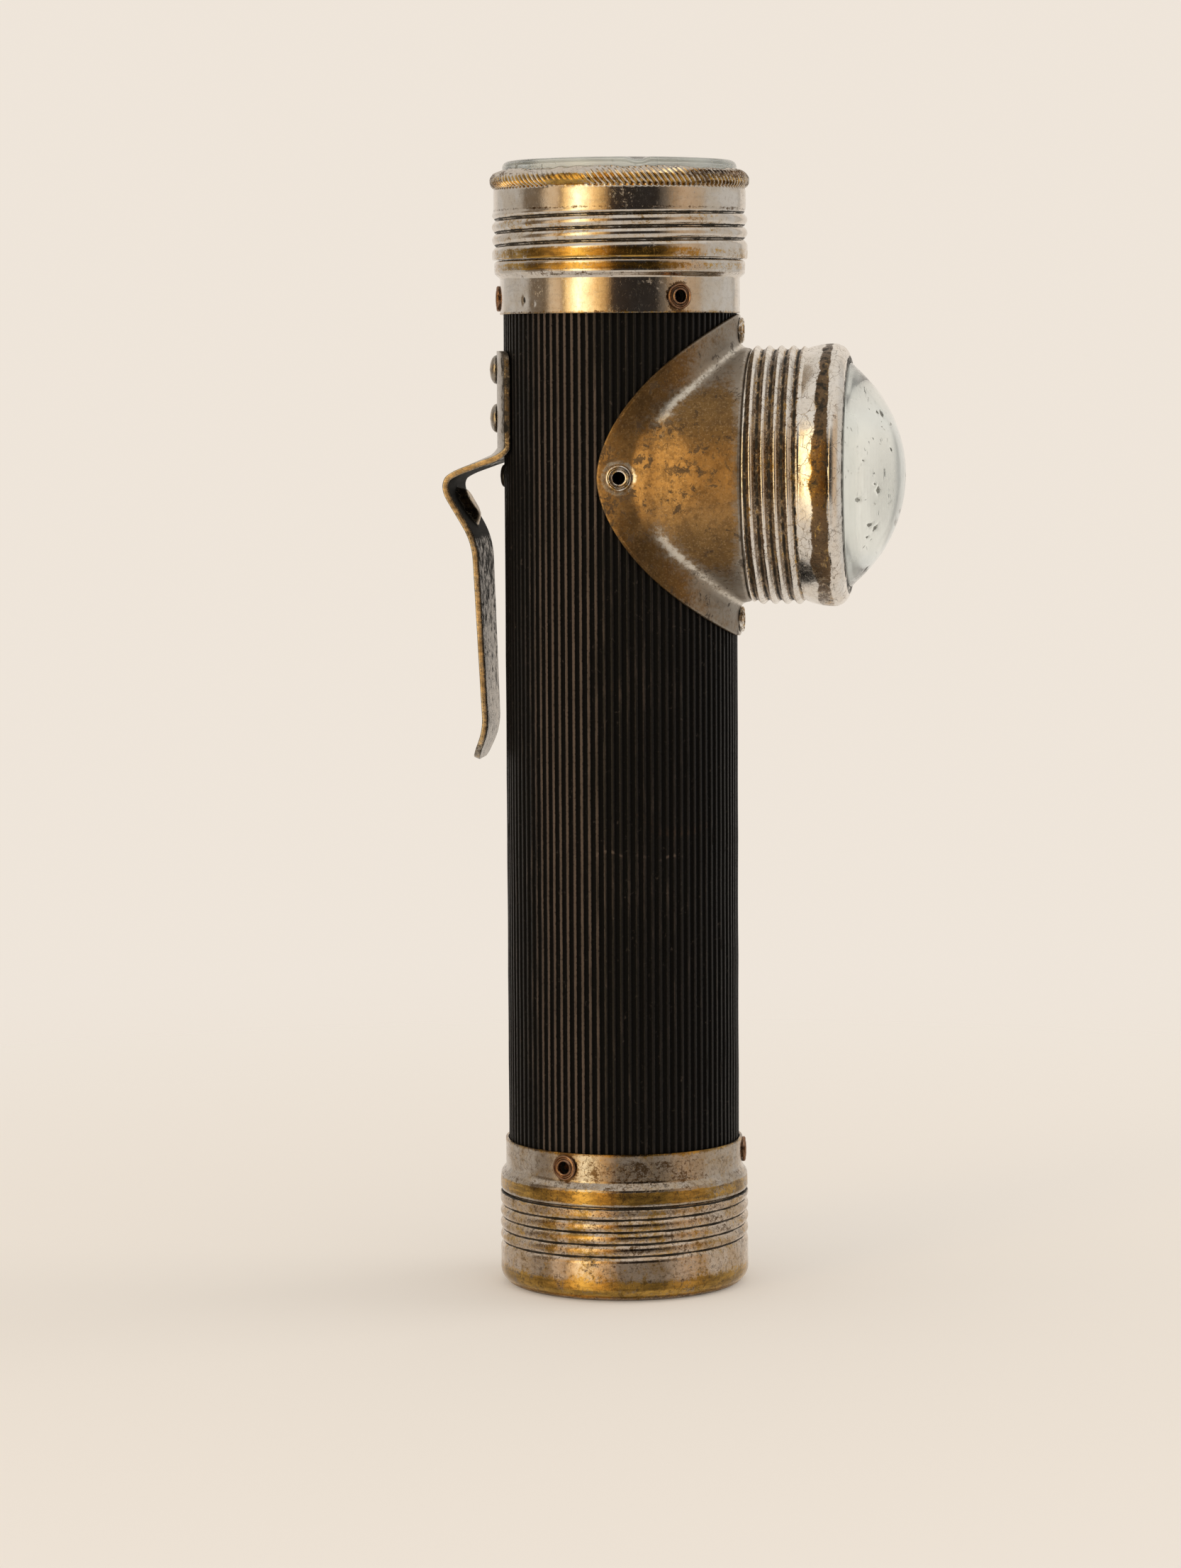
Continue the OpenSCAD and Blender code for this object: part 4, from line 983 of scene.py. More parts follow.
@dataclass
class SideBezel(Spun):
    """Side bezel: four rolled ridges, a tapered band, a bead and a round lip."""

    grain: float = 0.14
    long: float = 15.85
    screw_r: float = 19.65
    root_r: float = 20.28
    crest_r: float = 20.97
    band_r: float = 20.22
    band_z: float = 8.4
    bead_r: float = 21.22
    eye_r: float = 18.15
    lip_t: float = 1.0
    bead_z: float = 13.3

    def outline(self) -> tuple[list[list[float]], list[list[float]]]:
        """The outside from its open end over the bead and lip to the eye, and the bore."""
        swell = [[self.bead_r - (self.bead_r - self.band_r) * (1 - t) ** 2,
                  self.band_z + (self.bead_z - self.band_z) * t] for t in np.linspace(0, 1, 18)]
        deep, lip = self.bead_r - self.eye_r, self.long - self.bead_z
        turn = [[self.eye_r + deep * math.cos(a) ** 0.9, self.bead_z + lip * math.sin(a) ** 0.95]
                for a in np.radians(np.linspace(3, 87, 30))]
        outside = [[self.root_r, 0], [self.root_r + 0.05, 0.3], *swell, *turn,
                   [self.eye_r + 0.02, self.long], [self.eye_r - 0.0, self.long - 0.25]]
        return outside, [[self.eye_r, self.long - self.lip_t],
                         [self.screw_r, self.long - self.lip_t], [self.screw_r, 0]]

    def reshape(self, theta: np.ndarray, r: np.ndarray, z: np.ndarray) -> \
            tuple[np.ndarray, np.ndarray, Marks]:
        """Rolls the thread's ridges and adds a line behind the lip and a few knocks."""
        thread = RolledThread(z=0.32, pitch=1.96, count=5, sharp=2.3, front=-math.pi / 2)
        groove = thread.groove(theta, z)
        rolled = smooth(z, 0.0, 0.3) * (1 - smooth(z, 8.3, 9.1))
        crest = self.root_r + (self.crest_r - self.root_r) * (1 - groove)
        radius = r + (crest - r) * rolled
        line = np.exp(-((z - 13.75 - 0.5 * (1 - np.abs(np.sin(theta)))) / 0.12) ** 2)
        rough = smooth(z, 8.6, 9.6) * (1 - smooth(z, 14.8, 15.4))
        radius = radius - 0.09 * line + Ripple(14, 0.05).at(theta, z) * rough
        radius = radius - 0.03 * rough * np.abs(Ripple(15, 1.0, 70, 2.6, 40).at(theta, z))
        for dent in (Dent(-128, 11.0, 2.0, 1.6, 0.10), Dent(-62, 10.4, 2.6, 1.2, 0.06),
                     Dent(-95, 11.5, 1.6, 1.2, 0.05), Dent(60, 11.0, 3.0, 2.0, 0.1)):
            radius = radius - dent.at(theta, z, self.band_r)
        wavy = Ripple(17, 0.8, 45, 0.0, 30).at(theta, 0 * z)
        stripe = smooth(z - wavy, 11.0, 11.7) * (1 - smooth(z + 0.4 * wavy, 13.3, 13.8))
        # Brown and brass on one flank of each ridge: a painted reflection of the dark tube and saddle, partly tarnish.
        flank = rolled * smooth(thread.groove(theta, z - 0.28), 0.12, 0.5)
        # Dark at the lip's end: a painted shadow in the gap round the lens.
        edge = 0.7 * smooth(z, 15.62, 15.78)
        # More brass at mid-height of the stripe and band: a painted highlight.
        middle = smooth(np.abs(np.cos(theta)), 0.35, 0.0)
        # The stripe is darker towards the top and less brown towards the bottom.
        upper, lower = smooth(-np.cos(theta), 0.1, 0.7), smooth(np.cos(theta), 0.55, 1.0)
        on_band = smooth(z, 8.8, 9.8) * (1 - smooth(z, 13.6, 13.9))
        # The dark in the grooves and in the line behind the lip is painted shade, partly dirt.
        marks = {"bare": 0.42 * flank + (0.36 + 0.3 * middle) * stripe + 0.18 * middle * on_band,
                 "brown": (0.84 - 0.26 * lower) * stripe + 0.66 * flank,
                 "grime": np.clip(0.7 * rolled * smooth(thread.groove(theta, z - 0.15), 0.75, 0.98)
                                  + 0.45 * line + edge + (0.38 + 0.14 * upper) * stripe, 0, 1)}
        return radius, z, marks


@dataclass
class BottomCap(Spun):
    """Bottom cap: round lower edge, plain band, four rolled grooves and a foot at the seam."""

    grain: float = 0.13
    high: float = 15.3
    floor: float = 0.6
    screw_r: float = 19.65
    root_r: float = 19.98
    band_r: float = 20.5
    round: float = 2.6
    inner_round: float = 1.5

    def outline(self) -> tuple[list[list[float]], list[list[float]]]:
        """The outside from the middle of the base up to the seam, and the inside."""
        edge = self.band_r - self.round
        outside = [[0.0, 0.0], *[[x, 0.0] for x in np.linspace(2, edge - 1.0, 9)],
                   *arc([edge, self.round], self.round, -90, 0, 14),
                   [self.band_r, self.high - 0.25], [self.band_r - 0.25, self.high]]
        inner = arc([self.screw_r - self.inner_round, self.floor + self.inner_round],
                    self.inner_round, 0, -90, 6)
        return outside, [[self.screw_r, self.high], *inner, [0.0, self.floor]]

    def reshape(self, theta: np.ndarray, r: np.ndarray, z: np.ndarray) -> \
            tuple[np.ndarray, np.ndarray, Marks]:
        """Rolls the thread and adds knocks."""
        thread = RolledThread(z=7.5, pitch=2.0, count=4, sharp=0.75, front=math.radians(-70))
        side = smooth(r, 19.0, 20.0)
        groove = thread.groove(theta, z) * side
        radius = r - (self.band_r - self.root_r) * groove
        radius = radius - side * (0.03 + Ripple(31, 0.025).at(theta, z))
        radius = radius - side * 0.02 * np.abs(Ripple(32, 1.0, 60, 2.4, 30).at(theta, z))
        for dent in (Dent(-70, 5.2, 1.6, 1.0, 0.05), Dent(-130, 4.0, 3.0, 1.6, 0.08),
                     Dent(40, 3.0, 3.0, 2.0, 0.1)):
            radius = radius - dent.at(theta, z, self.band_r) * side
        corner = smooth(z, 0.25, 0.9) * (1 - smooth(z, 2.6, 4.4)) * side
        ridges = smooth(z, 6.8, 7.6) * (1 - groove) * side
        # More brass towards the left of the front: a painted warm highlight.
        left = 0.5 + 0.5 * np.cos(theta - math.radians(-112))
        # The dark in the grooves is painted shade, partly dirt; the dark at the top edge is the seam.
        marks = {"bare": 0.62 * corner + (0.06 + 0.12 * left) * ridges + 0.16 + 0.14 * left,
                 "brown": 0.16 * ridges + 0.50 * corner * (1 - corner) + 0.20,
                 "grime": side * smooth(thread.groove(theta, z - 0.12), 0.45, 0.8)
                          + smooth(z, self.high - 0.3, self.high)}
        return radius, z, marks


@dataclass
class Ferrule(Spun):
    """A ferrule with its bead and the threaded neck that the cap or bezel screws on."""

    grain: float = 0.16
    high: float = 8.6
    bead_h: float = 2.1
    neck: float = 10.7
    seed: int = 3
    bearings: tuple[float, ...] = ()
    eyelet_z: float = 2.6
    worn: float = 0.0
    worn_at: float = -70.0
    # Bearing of the painted highlight on the bead.
    painted_highlight_at: float = -100.0
    gold: float = 0.38
    sleeve_r: float = 19.12
    band_r: float = 19.52
    bead_r: float = 20.42
    neck_r: float = 19.57

    def outline(self) -> tuple[list[list[float]], list[list[float]]]:
        """The outside from the free edge over the band, bead and neck, and the bore."""
        foot, rise_h = self.high - self.bead_h, 0.45 * self.bead_h
        rise = [[self.band_r + 0.86 * (1 - math.cos(a)) / 2, foot - rise_h + 1.2 * rise_h * a / math.pi]
                for a in np.linspace(0, math.pi, 11)]
        outside = [[self.sleeve_r + 0.05, 0], [self.band_r - 0.03, 0.03], [self.band_r, 0.15], *rise,
                   *arc([self.bead_r - 0.55, self.high - 0.55], 0.55, 0, 90, 8),
                   [self.neck_r, self.high], [self.neck_r, self.high + self.neck - 0.2],
                   [self.neck_r - 0.15, self.high + self.neck]]
        return outside, [[self.sleeve_r, self.high + self.neck], [self.sleeve_r, 0]]

    def reshape(self, theta: np.ndarray, r: np.ndarray, z: np.ndarray) -> \
            tuple[np.ndarray, np.ndarray, Marks]:
        """Rolls a shallow thread in the neck and makes the band a little uneven."""
        thread = RolledThread(z=self.high + 1.6, pitch=2.1, count=max(2, int(self.neck / 2.1) - 1),
                              sharp=0.9)
        groove = thread.groove(theta, z) * smooth(z, self.high + 0.2, self.high + 0.6)
        rough = smooth(z, 0.4, 1.2) * (1 - smooth(z, self.high - 0.4, self.high))
        foot = self.high - self.bead_h
        taper = np.exp(-((z - foot + 0.1 * self.bead_h) / (0.3 * self.bead_h)) ** 2)
        radius = r - 0.22 * groove - rough * (0.03 + Ripple(self.seed, 0.025).at(theta, z))
        radius = radius - taper * (0.04 + Ripple(self.seed + 50, 0.045, 60, 3.0, 30).at(theta, z))
        for dent in (Dent(-135, 2.1, 0.5, 0.9, 0.16), Dent(-128, 1.5, 0.4, 0.4, 0.10),
                     Dent(-20, 3.4, 2.5, 1.2, 0.05)):
            radius = radius - dent.at(theta, z, self.band_r)
        bead = smooth(z, foot + 0.25, foot + 0.55) * (1 - smooth(z, self.high - 0.75, self.high - 0.4))
        stains = [near(theta, z, self.band_r, b, self.eyelet_z, 3.1) for b in self.bearings]
        stain = np.maximum.reduce(stains) if stains else 0 * radius
        edge = 1 - smooth(z, 0.05, 0.75)
        pits = smooth(np.cos(theta - math.radians(self.worn_at)), 0.75, 0.95) * smooth(z, 0.8, 1.6)
        pits = pits * (1 - smooth(z, 4.2, 5.2)) * self.worn
        # Painted highlight: more brass on the bead where the warm highlight lies.
        painted_highlight = smooth(np.cos(theta - math.radians(self.painted_highlight_at)), 0.5, 0.95)
        marks = {"bare": (self.gold + 0.42 * painted_highlight) * bead + 0.5 * edge + self.worn * 0.18,
                 "brown": 0.85 * stain + 0.5 * edge + 0.64 * pits + 0.38 * taper + 0.28 * bead,
                 "grime": 0.5 * groove + smooth(z, self.high - 0.06, self.high) * (1 - smooth(z, self.high, self.high + 0.2))
                          + 1.1 * Dent(-135, 2.1, 0.4, 0.7, 1.0).at(theta, z, self.band_r)}
        return radius, z, marks


@dataclass
class EyeletHead(Spun):
    """Hollow tubular rivet: a rolled head with a ring round its bore outside, clinched inside."""

    steps: int = 72
    grain: float = 0.08
    bore: float = 0.95
    head_r: float = 2.08
    proud: float = 0.7
    barrel_r: float = 1.4
    outer: float = 19.52
    inner: float = 17.2
    seed: int = 1

    def outline(self) -> tuple[list[list[float]], list[list[float]]]:
        """The rolled head from its rim into the bore, then the barrel and clinch."""
        clinch = self.barrel_r + 0.5
        seat = math.sqrt(self.inner ** 2 - clinch ** 2) - self.outer
        head = [[self.head_r - 0.02, 0.0], *arc([self.head_r - 0.3, self.proud - 0.38], 0.28, 0, 90, 6),
                *arc([self.head_r - 0.55, self.proud - 0.42], 0.14, 60, 120, 3),
                *arc([self.bore + 0.28, self.proud - 0.27], 0.25, 90, 180, 6),
                [self.bore + 0.02, 0.1], [self.bore, -0.6]]
        return head, [[self.bore, seat - 0.35], [clinch, seat - 0.35], [clinch, seat],
                      [self.barrel_r, seat], [self.barrel_r, 0.0]]

    def reshape(self, theta: np.ndarray, r: np.ndarray, z: np.ndarray) -> \
            tuple[np.ndarray, np.ndarray, Marks]:
        """Makes the rolled head a little uneven."""
        share = smooth(z, 0.0, 0.3)
        wave = Ripple(self.seed, 0.05, 6, 0.5, 8).at(theta, z)
        height = z - share * (0.03 + 0.4 * np.abs(wave))
        radius = np.minimum(r + wave * 0.5 * share * smooth(r, 1.2, 1.6), self.head_r)
        valley = np.exp(-((r - 1.42) / 0.09) ** 2) * smooth(z, -0.1, 0.1)
        foot = (1 - smooth(z, -0.1, 0.22)) * smooth(r, 1.4, 1.8)
        # The inside of the bore is painted black as shade; the valley of the rolled head and its foot are darkened too.
        marks = {"bare": 0.45 * share, "brown": 0.5 * foot,
                 "grime": np.clip(0.8 * valley + 0.75 * foot + (1 - smooth(z, -0.5, 0.05)), 0, 1)}
        return radius, height, marks


@dataclass
class RivetDome(Spun):
    """Domed solid rivet head with its shank."""

    steps: int = 72
    grain: float = 0.15
    head_r: float = 2.4
    rise: float = 1.3
    shank: float = 2.9
    shank_r: float = 1.2
    seed: int = 4

    def outline(self) -> tuple[list[list[float]], list[list[float]]]:
        """The dome from its foot to the middle, and the shank."""
        dome = [[self.head_r * math.cos(a) ** 0.8, self.rise * math.sin(a) ** 0.9]
                for a in np.linspace(0.02, math.pi / 2 - 0.001, 14)]
        return [*dome, [0.0, self.rise]], [[0.0, -self.shank], [self.shank_r, -self.shank],
                                           [self.shank_r, 0.0], [self.head_r - 0.1, 0.0]]

    def reshape(self, theta: np.ndarray, r: np.ndarray, z: np.ndarray) -> \
            tuple[np.ndarray, np.ndarray, Marks]:
        """Flattens the dome a little where it was hammered."""
        wave = Ripple(self.seed, 0.06, 5, 0.4, 8).at(theta, z)
        height = z - smooth(z, 0.3, 1.2) * np.abs(wave) * smooth(r, 0.0, 0.6)
        return r, height, {"bare": 0.5 * smooth(z, 0.5, 1.2), "grime": 0.8 * (1 - smooth(z, 0.0, 0.35))}


@dataclass
class Lens(Spun):
    """Pressed glass: flat back, an edge under the bezel's lip, a shoulder and a crown."""

    steps: int = 256
    grain: float = 0.4
    edge_r: float = 19.6
    edge_h: float = 2.3
    eye_r: float = 19.0
    shoulder: float = 4.85
    round: float = 1.0
    rise: float = 0.5
    seed: int = 2
    chips: tuple[Dent, ...] = ()
    nicks: tuple[tuple[float, float, float], ...] = ()
    painted_sheen_width: float = 1.3
    painted_sheen_level: float = 0.32
    kinds: ClassVar[tuple[str, ...]] = ("ground", "chipped")

    def outline(self) -> tuple[list[list[float]], list[list[float]]]:
        """The outside from the flat edge over the shoulder to the middle of the crown."""
        top_r = self.eye_r - self.round
        dome = (top_r ** 2 + self.rise ** 2) / (2 * self.rise)
        start = math.asin(top_r / dome)
        crown = [[dome * math.sin(a), self.shoulder + self.rise - dome * (1 - math.cos(a))]
                 for a in np.linspace(start, 0, 30)]
        corner = arc([top_r, self.shoulder - self.round], self.round, 0, 90 - math.degrees(start), 10)
        return [[self.edge_r, 0.15], [self.edge_r, self.edge_h - 0.1], [self.edge_r - 0.1, self.edge_h],
                [self.eye_r, self.edge_h], *corner, *crown[1:]], [[0.0, 0.0], [self.edge_r - 0.15, 0.0]]

    def reshape(self, theta: np.ndarray, r: np.ndarray, z: np.ndarray) -> \
            tuple[np.ndarray, np.ndarray, Marks]:
        """Gives the crown the slight waviness of pressed glass, and chips its edge."""
        crown = smooth(z, self.edge_h + 0.3, self.edge_h + 1.0) * smooth(self.eye_r - r, 0.0, 2.0)
        height = z - crown * (0.03 + Ripple(self.seed, 0.02, 5, 0.0).at(theta, z))
        rim = smooth(z, self.edge_h + 0.6, self.edge_h + 1.2) * smooth(r, self.eye_r - 3.5, self.eye_r - 1.2)
        for chip in self.chips:
            height = height - rim * chip.at(theta, z, self.eye_r)
        chipped = 0 * height
        for i, (bearing, out, size) in enumerate(self.nicks):
            a = math.radians(bearing)
            right, up = r * np.cos(theta) - out * math.cos(a), r * np.sin(theta) - out * math.sin(a)
            ragged = 1 + 0.22 * np.sin((2 + i % 4) * np.arctan2(up, right) + 2.1 * i)
            away = np.hypot(right * (1.4 if i % 2 else 0.8), up) * ragged / size
            chipped = np.maximum(chipped, np.exp(-away ** 4) * crown)
            height = height - 0.45 * size * np.exp(-away ** 2) * crown
        # Under the lip the edge is frosted; the pale band round the crown's edge is a painted reflection.
        under = smooth(r, self.eye_r + 0.05, self.eye_r + 0.3)
        patchy = self.painted_sheen_level + Ripple(self.seed + 3, self.painted_sheen_level, 19, 0.0, 12).at(theta, 0 * z)
        rubbed = np.clip(patchy, 0, 1) * smooth(r, self.eye_r - self.painted_sheen_width, self.eye_r - 0.5 * self.painted_sheen_width)
        return r, height, {"ground": np.maximum(under, rubbed) + 0 * height, "chipped": chipped}


@dataclass
class RibbedTube:
    """The tube of black vulcanised fibre, pressed with fine ribs along its length."""

    radius: float = 19.0
    bore: float = 17.2
    ribs: int = 93
    rib: float = 0.35
    low: float = 15.5
    high: float = 167.7
    rows: int = 96

    def section(self) -> tuple[np.ndarray, np.ndarray, np.ndarray]:
        """One cross-section: angles, radii and how near each point is to a crest."""
        shares = np.array([0.0, 0.07, 0.12, 0.18, 0.26, 0.35, 0.44, 0.52, 0.58, 0.64, 0.74, 0.86])
        heights = np.array([0.05, 0.30, 0.72, 0.93, 0.99, 1.0, 0.99, 0.93, 0.72, 0.30, 0.04, 0.0])
        step = TAU / self.ribs
        angles = (np.arange(self.ribs)[:, None] * step + shares * step).ravel()
        up = np.tile(heights, self.ribs)
        return angles, self.radius - self.rib * (1 - up), up

    def build(self, finishes: Finishes) -> None:
        """Makes the tube with its holes, and the rivet of the lamp block."""
        angles, radii, up = self.section()
        z = np.concatenate([[self.low, self.low + 0.1], np.linspace(self.low + 0.6, self.high - 0.6, self.rows),
                            [self.high - 0.1, self.high], np.arange(71.2, 73.6, 0.12)])
        z = np.unique(z)[:, None]
        draw = np.random.default_rng(12)
        rub = Ripple(23, 0.06, 14, 0.25, 20).at(angles, z) * up
        nick = np.where(draw.random((len(z), len(angles))) > 0.9985, 0.16, 0.0) * (up > 0.9)
        outer_r = radii - np.abs(rub) * 0.5 - nick
        outer = np.stack([outer_r * np.cos(angles), outer_r * np.sin(angles), z + 0 * outer_r], -1)
        inner = np.stack([self.bore * np.cos(angles) + 0 * z, self.bore * np.sin(angles) + 0 * z,
                          z + 0 * outer_r], -1)
        rows = np.concatenate([outer, inner[::-1]])
        crest = np.concatenate([up + 0 * outer_r, 0 * outer_r])
        scratch = np.exp(-((rows[..., 2] - 72.4 - 0.5 * np.sin(7 * angles) - 0.3 * np.sin(23 * angles)) / 0.22) ** 2)
        front = 0.7 * near(angles, 72.4 + 0 * crest, self.radius, -84, 72.4, 13) * np.abs(np.sin(11 * angles) + 0.5)
        marks = {"crest": crest, "rubbed": self.rubbed(angles, crest) + scratch * front}
        tube = Shell.grid(rows, True, True, marks).to_object("ribbed_tube", 60)
        pierce(tube, self.holes())
        settle(tube, finishes["black_fibre"], "fibre_black", Body.TORCH, "body_tube")
        rivet = RivetDome(head_r=1.9, rise=0.8, shank=7.0).shell()
        piece = rivet.seated(Seat.on_tube(180, self.radius, SETTING.head_z)).to_object("block_rivet_dome")
        settle(piece, finishes["black_lacquer"], "rivet_black", Body.TORCH, "block_rivet")

    @staticmethod
    def rubbed(angles: np.ndarray, crest: np.ndarray) -> np.ndarray:
        """How brown each rib is: most at the left of the front, a painted warm highlight, and near the switch, where
        hands rub it.
        """
        most = np.zeros(angles.shape)
        # The first entry is a painted warm highlight; the others are rubbing.
        for bearing, reach, much in ((-112, 20, 0.95), (-70, 26, 0.12), (60, 30, 0.6), (150, 24, 0.4)):
            away = np.degrees((angles - math.radians(bearing) + math.pi) % TAU - math.pi)
            most = np.maximum(most, much * np.exp(-(away / reach) ** 4))
        return most + 0 * crest

    def holes(self) -> list[Shell]:
        """What is cut out of the wall: the lamp's way, eyelets, rivets and the switch's slot."""
        through = [plug(14.6 / 2 + 0.25, 0, self.radius + 1, 96).seated(Seat.on_head(0))]
        spots = [(b, 161.7, 1.45) for b in Eyelets.TOP] + [(b, 21.7, 1.45) for b in Eyelets.LOW]
        spots += [(b, SETTING.head_z + up, 1.45) for b, up in Eyelets.SADDLE]
        spots += [(96.0, 83.93 + up, 1.45) for up in (-13.5, 13.5)]
        spots += [(180.0, z, 1.25) for z in (150.23, 142.33, SETTING.head_z)]
        through += [plug(r, 15.0, 20.5, 32).seated(Seat.on_tube(b, 0, z)) for b, z, r in spots]
        slot = np.array([[sx * 7.7, sy * 1.6, h] for h in (15.0, 20.5) for sx, sy in
                         ((-1, -1), (1, -1), (1, 1), (-1, 1))])
        box = Shell.grid(slot.reshape(2, 4, 3), False, True)
        box.caps = [[0, 1, 2, 3], [7, 6, 5, 4]]
        return through + [box.seated(Seat.on_tube(96.0, 0, 83.93))]


class Eyelets:
    """The bearings of the hollow rivets, and what makes their rolled heads."""

    TOP = (-54.2, 65.8, 185.8)
    LOW = (-112.3, 7.7, 127.7)
    SADDLE = ((-84.087, 0.0), (84.087, 0.0), (0.0, 23.43), (0.0, -23.43))

    @staticmethod
    def row(name: str, spots: Sequence[tuple[float, float]], outer: float, inner: float = 17.2) -> bpy.types.Object:
        """Several eyelets as one object.

        Args:
            name: the object's name.
            spots: bearing and height of each.
            outer: radius that their heads sit on.
            inner: radius that they are clinched on.

        Returns:
            The object.
        """
        shells = [EyeletHead(outer=outer, inner=inner, seed=i + 1).shell().seated(Seat.on_tube(b, outer, z))
                  for i, (b, z) in enumerate(spots)]
        return Shell.joined(shells).to_object(name)


@dataclass
class Ferrules:
    """Both ferrules and the eyelets that hold them."""

    top_edge: float = 159.1
    low_edge: float = 24.1
    sleeve: float = 19.52

    def build(self, finishes: Finishes) -> None:
        """Makes the two ferrules, pierced for their eyelets, and the eyelets."""
        hole = [plug(1.45, 18.5, 20.5, 32)]
        upper = Ferrule(bearings=Eyelets.TOP).shell().seated(Seat.upright(self.top_edge)).to_object("top_ferrule_spun")
        pierce(upper, [hole[0].seated(Seat.on_tube(b, 0, 161.7)) for b in Eyelets.TOP])
        settle(upper, finishes["bright_nickel"], "nickel_plate", Body.TORCH, "top_ferrule")
        lower = Ferrule(bead_h=2.9, neck=10.0, seed=6, eyelet_z=2.4, worn=0.8, worn_at=70.0, painted_highlight_at=98.0,
                        gold=0.56,
                        bearings=tuple(-b for b in Eyelets.LOW)).shell()
        piece = lower.seated(Seat.upright(self.low_edge, flip=True)).to_object("low_ferrule_spun")
        pierce(piece, [hole[0].seated(Seat.on_tube(b, 0, 21.7)) for b in Eyelets.LOW])
        settle(piece, finishes["grey_nickel"], "nickel_worn", Body.TORCH, "bottom_ferrule")
        for name, bearings, z, node in (("top_eyelets_rolled", Eyelets.TOP, 161.7, "top_ferrule_eyelets"),
                                        ("low_eyelets_rolled", Eyelets.LOW, 21.7, "bottom_ferrule_eyelets")):
            row = Eyelets.row(name, [(b, z) for b in bearings], self.sleeve)
            settle(row, finishes["copper_eyelet"], "eyelet_copper", Body.TORCH, node)


def rod(line: np.ndarray, radius: float, sides: int = 12) -> Shell:
    """A round wire along a line of points.

    Args:
        line: the points of its middle.
        radius: its radius.
        sides: number of its sides.

    Returns:
        The wire, closed at its ends.
    """
    way = np.gradient(line, axis=0)
    way /= np.linalg.norm(way, axis=1, keepdims=True)
    first = np.cross(way[0], [0.31, 0.52, 0.79])
    across = [first / np.linalg.norm(first)]
    for w in way[1:]:
        bent = across[-1] - w * (across[-1] @ w)
        across.append(bent / np.linalg.norm(bent))
    side = np.array(across)
    other = np.cross(way, side)
    a = np.arange(sides) * TAU / sides
    ring = radius * (np.cos(a)[None, :, None] * side[:, None] + np.sin(a)[None, :, None] * other[:, None])
    wire = Shell.grid(line[:, None, :] + ring, False, True)
    last = (len(line) - 1) * sides
    wire.caps = [list(range(sides)), list(range(last + sides - 1, last - 1, -1))]
    return wire


@dataclass
class Reflector(Spun):
    """A silvered dish with a flange, and a sleeve that the lamp screws into."""

    steps: int = 192
    grain: float = 0.5
    rim_r: float = 18.72
    flange_r: float = 19.5
    sleeve_r: float = 5.1
    deep: float = 17.4
    thick: float = 0.35
    sleeve_len: float = 4.5
    kinds: ClassVar[tuple[str, ...]] = ()

    def dish(self, r: float) -> float:
        """Height of the dish over its vertex at a radius."""
        return self.deep * (r / self.rim_r) ** 2

    def outline(self) -> tuple[list[list[float]], list[list[float]]]:
        """The silvered face from the flange down into the sleeve, and the back."""
        radii = np.linspace(self.rim_r, self.sleeve_r, 40)
        face = [[self.flange_r, self.deep], [self.rim_r + 0.15, self.deep], *[[r, self.dish(r)] for r in radii]]
        bore = self.sleeve_r - self.thick
        face += [[bore + 0.1, self.dish(bore) + 0.02], [bore, self.dish(bore) - 0.15]]
        back = [[r + 0.28, self.dish(r) - 0.28] for r in radii[::-1][1:]]
        return face, [[bore, -self.sleeve_len], [self.sleeve_r, -self.sleeve_len],
                      [self.sleeve_r, self.dish(self.sleeve_r) - 0.3], *back,
                      [self.flange_r, self.deep - 0.4]]

    def reshape(self, theta: np.ndarray, r: np.ndarray, z: np.ndarray) -> \
            tuple[np.ndarray, np.ndarray, Marks]:
        """Leaves the faint rings of the spinning tool."""
        rings = 0.012 * np.sin(9 * r) * smooth(r, self.sleeve_r, self.sleeve_r + 2)
        return r + 0 * theta, z + rings * smooth(self.rim_r - r, 0.0, 0.5) + 0 * theta, {}


@dataclass
class LampGlass(Spun):
    """The thin glass of a small lamp, with the tip where it was drawn off."""

    steps: int = 96
    grain: float = 0.3
    globe_r: float = 4.95
    globe_z: float = 5.8
    neck_r: float = 3.5
    wall: float = 0.3
    foot: float = -1.2
    kinds: ClassVar[tuple[str, ...]] = ("ground",)

    def outline(self) -> tuple[list[list[float]], list[list[float]]]:
        """The outside from the neck over the globe to the tip, and the inside."""
        start = -math.degrees(math.acos(self.neck_r / self.globe_r))
        globe = arc([0, self.globe_z], self.globe_r, start + 4, 82, 30)
        inner_r = self.neck_r - self.wall
        inside = arc([0, self.globe_z], self.globe_r - self.wall, 88, start + 4, 24)
        top = self.globe_z + self.globe_r
        outside = [[self.neck_r, self.foot], [self.neck_r, 1.6], *globe,
                   [0.45, top + 0.10], [0.3, top + 0.45], [0.0, top + 0.6]]
        return outside, [[0.0, top - self.wall], *inside, [inner_r, 1.6], [inner_r, self.foot]]


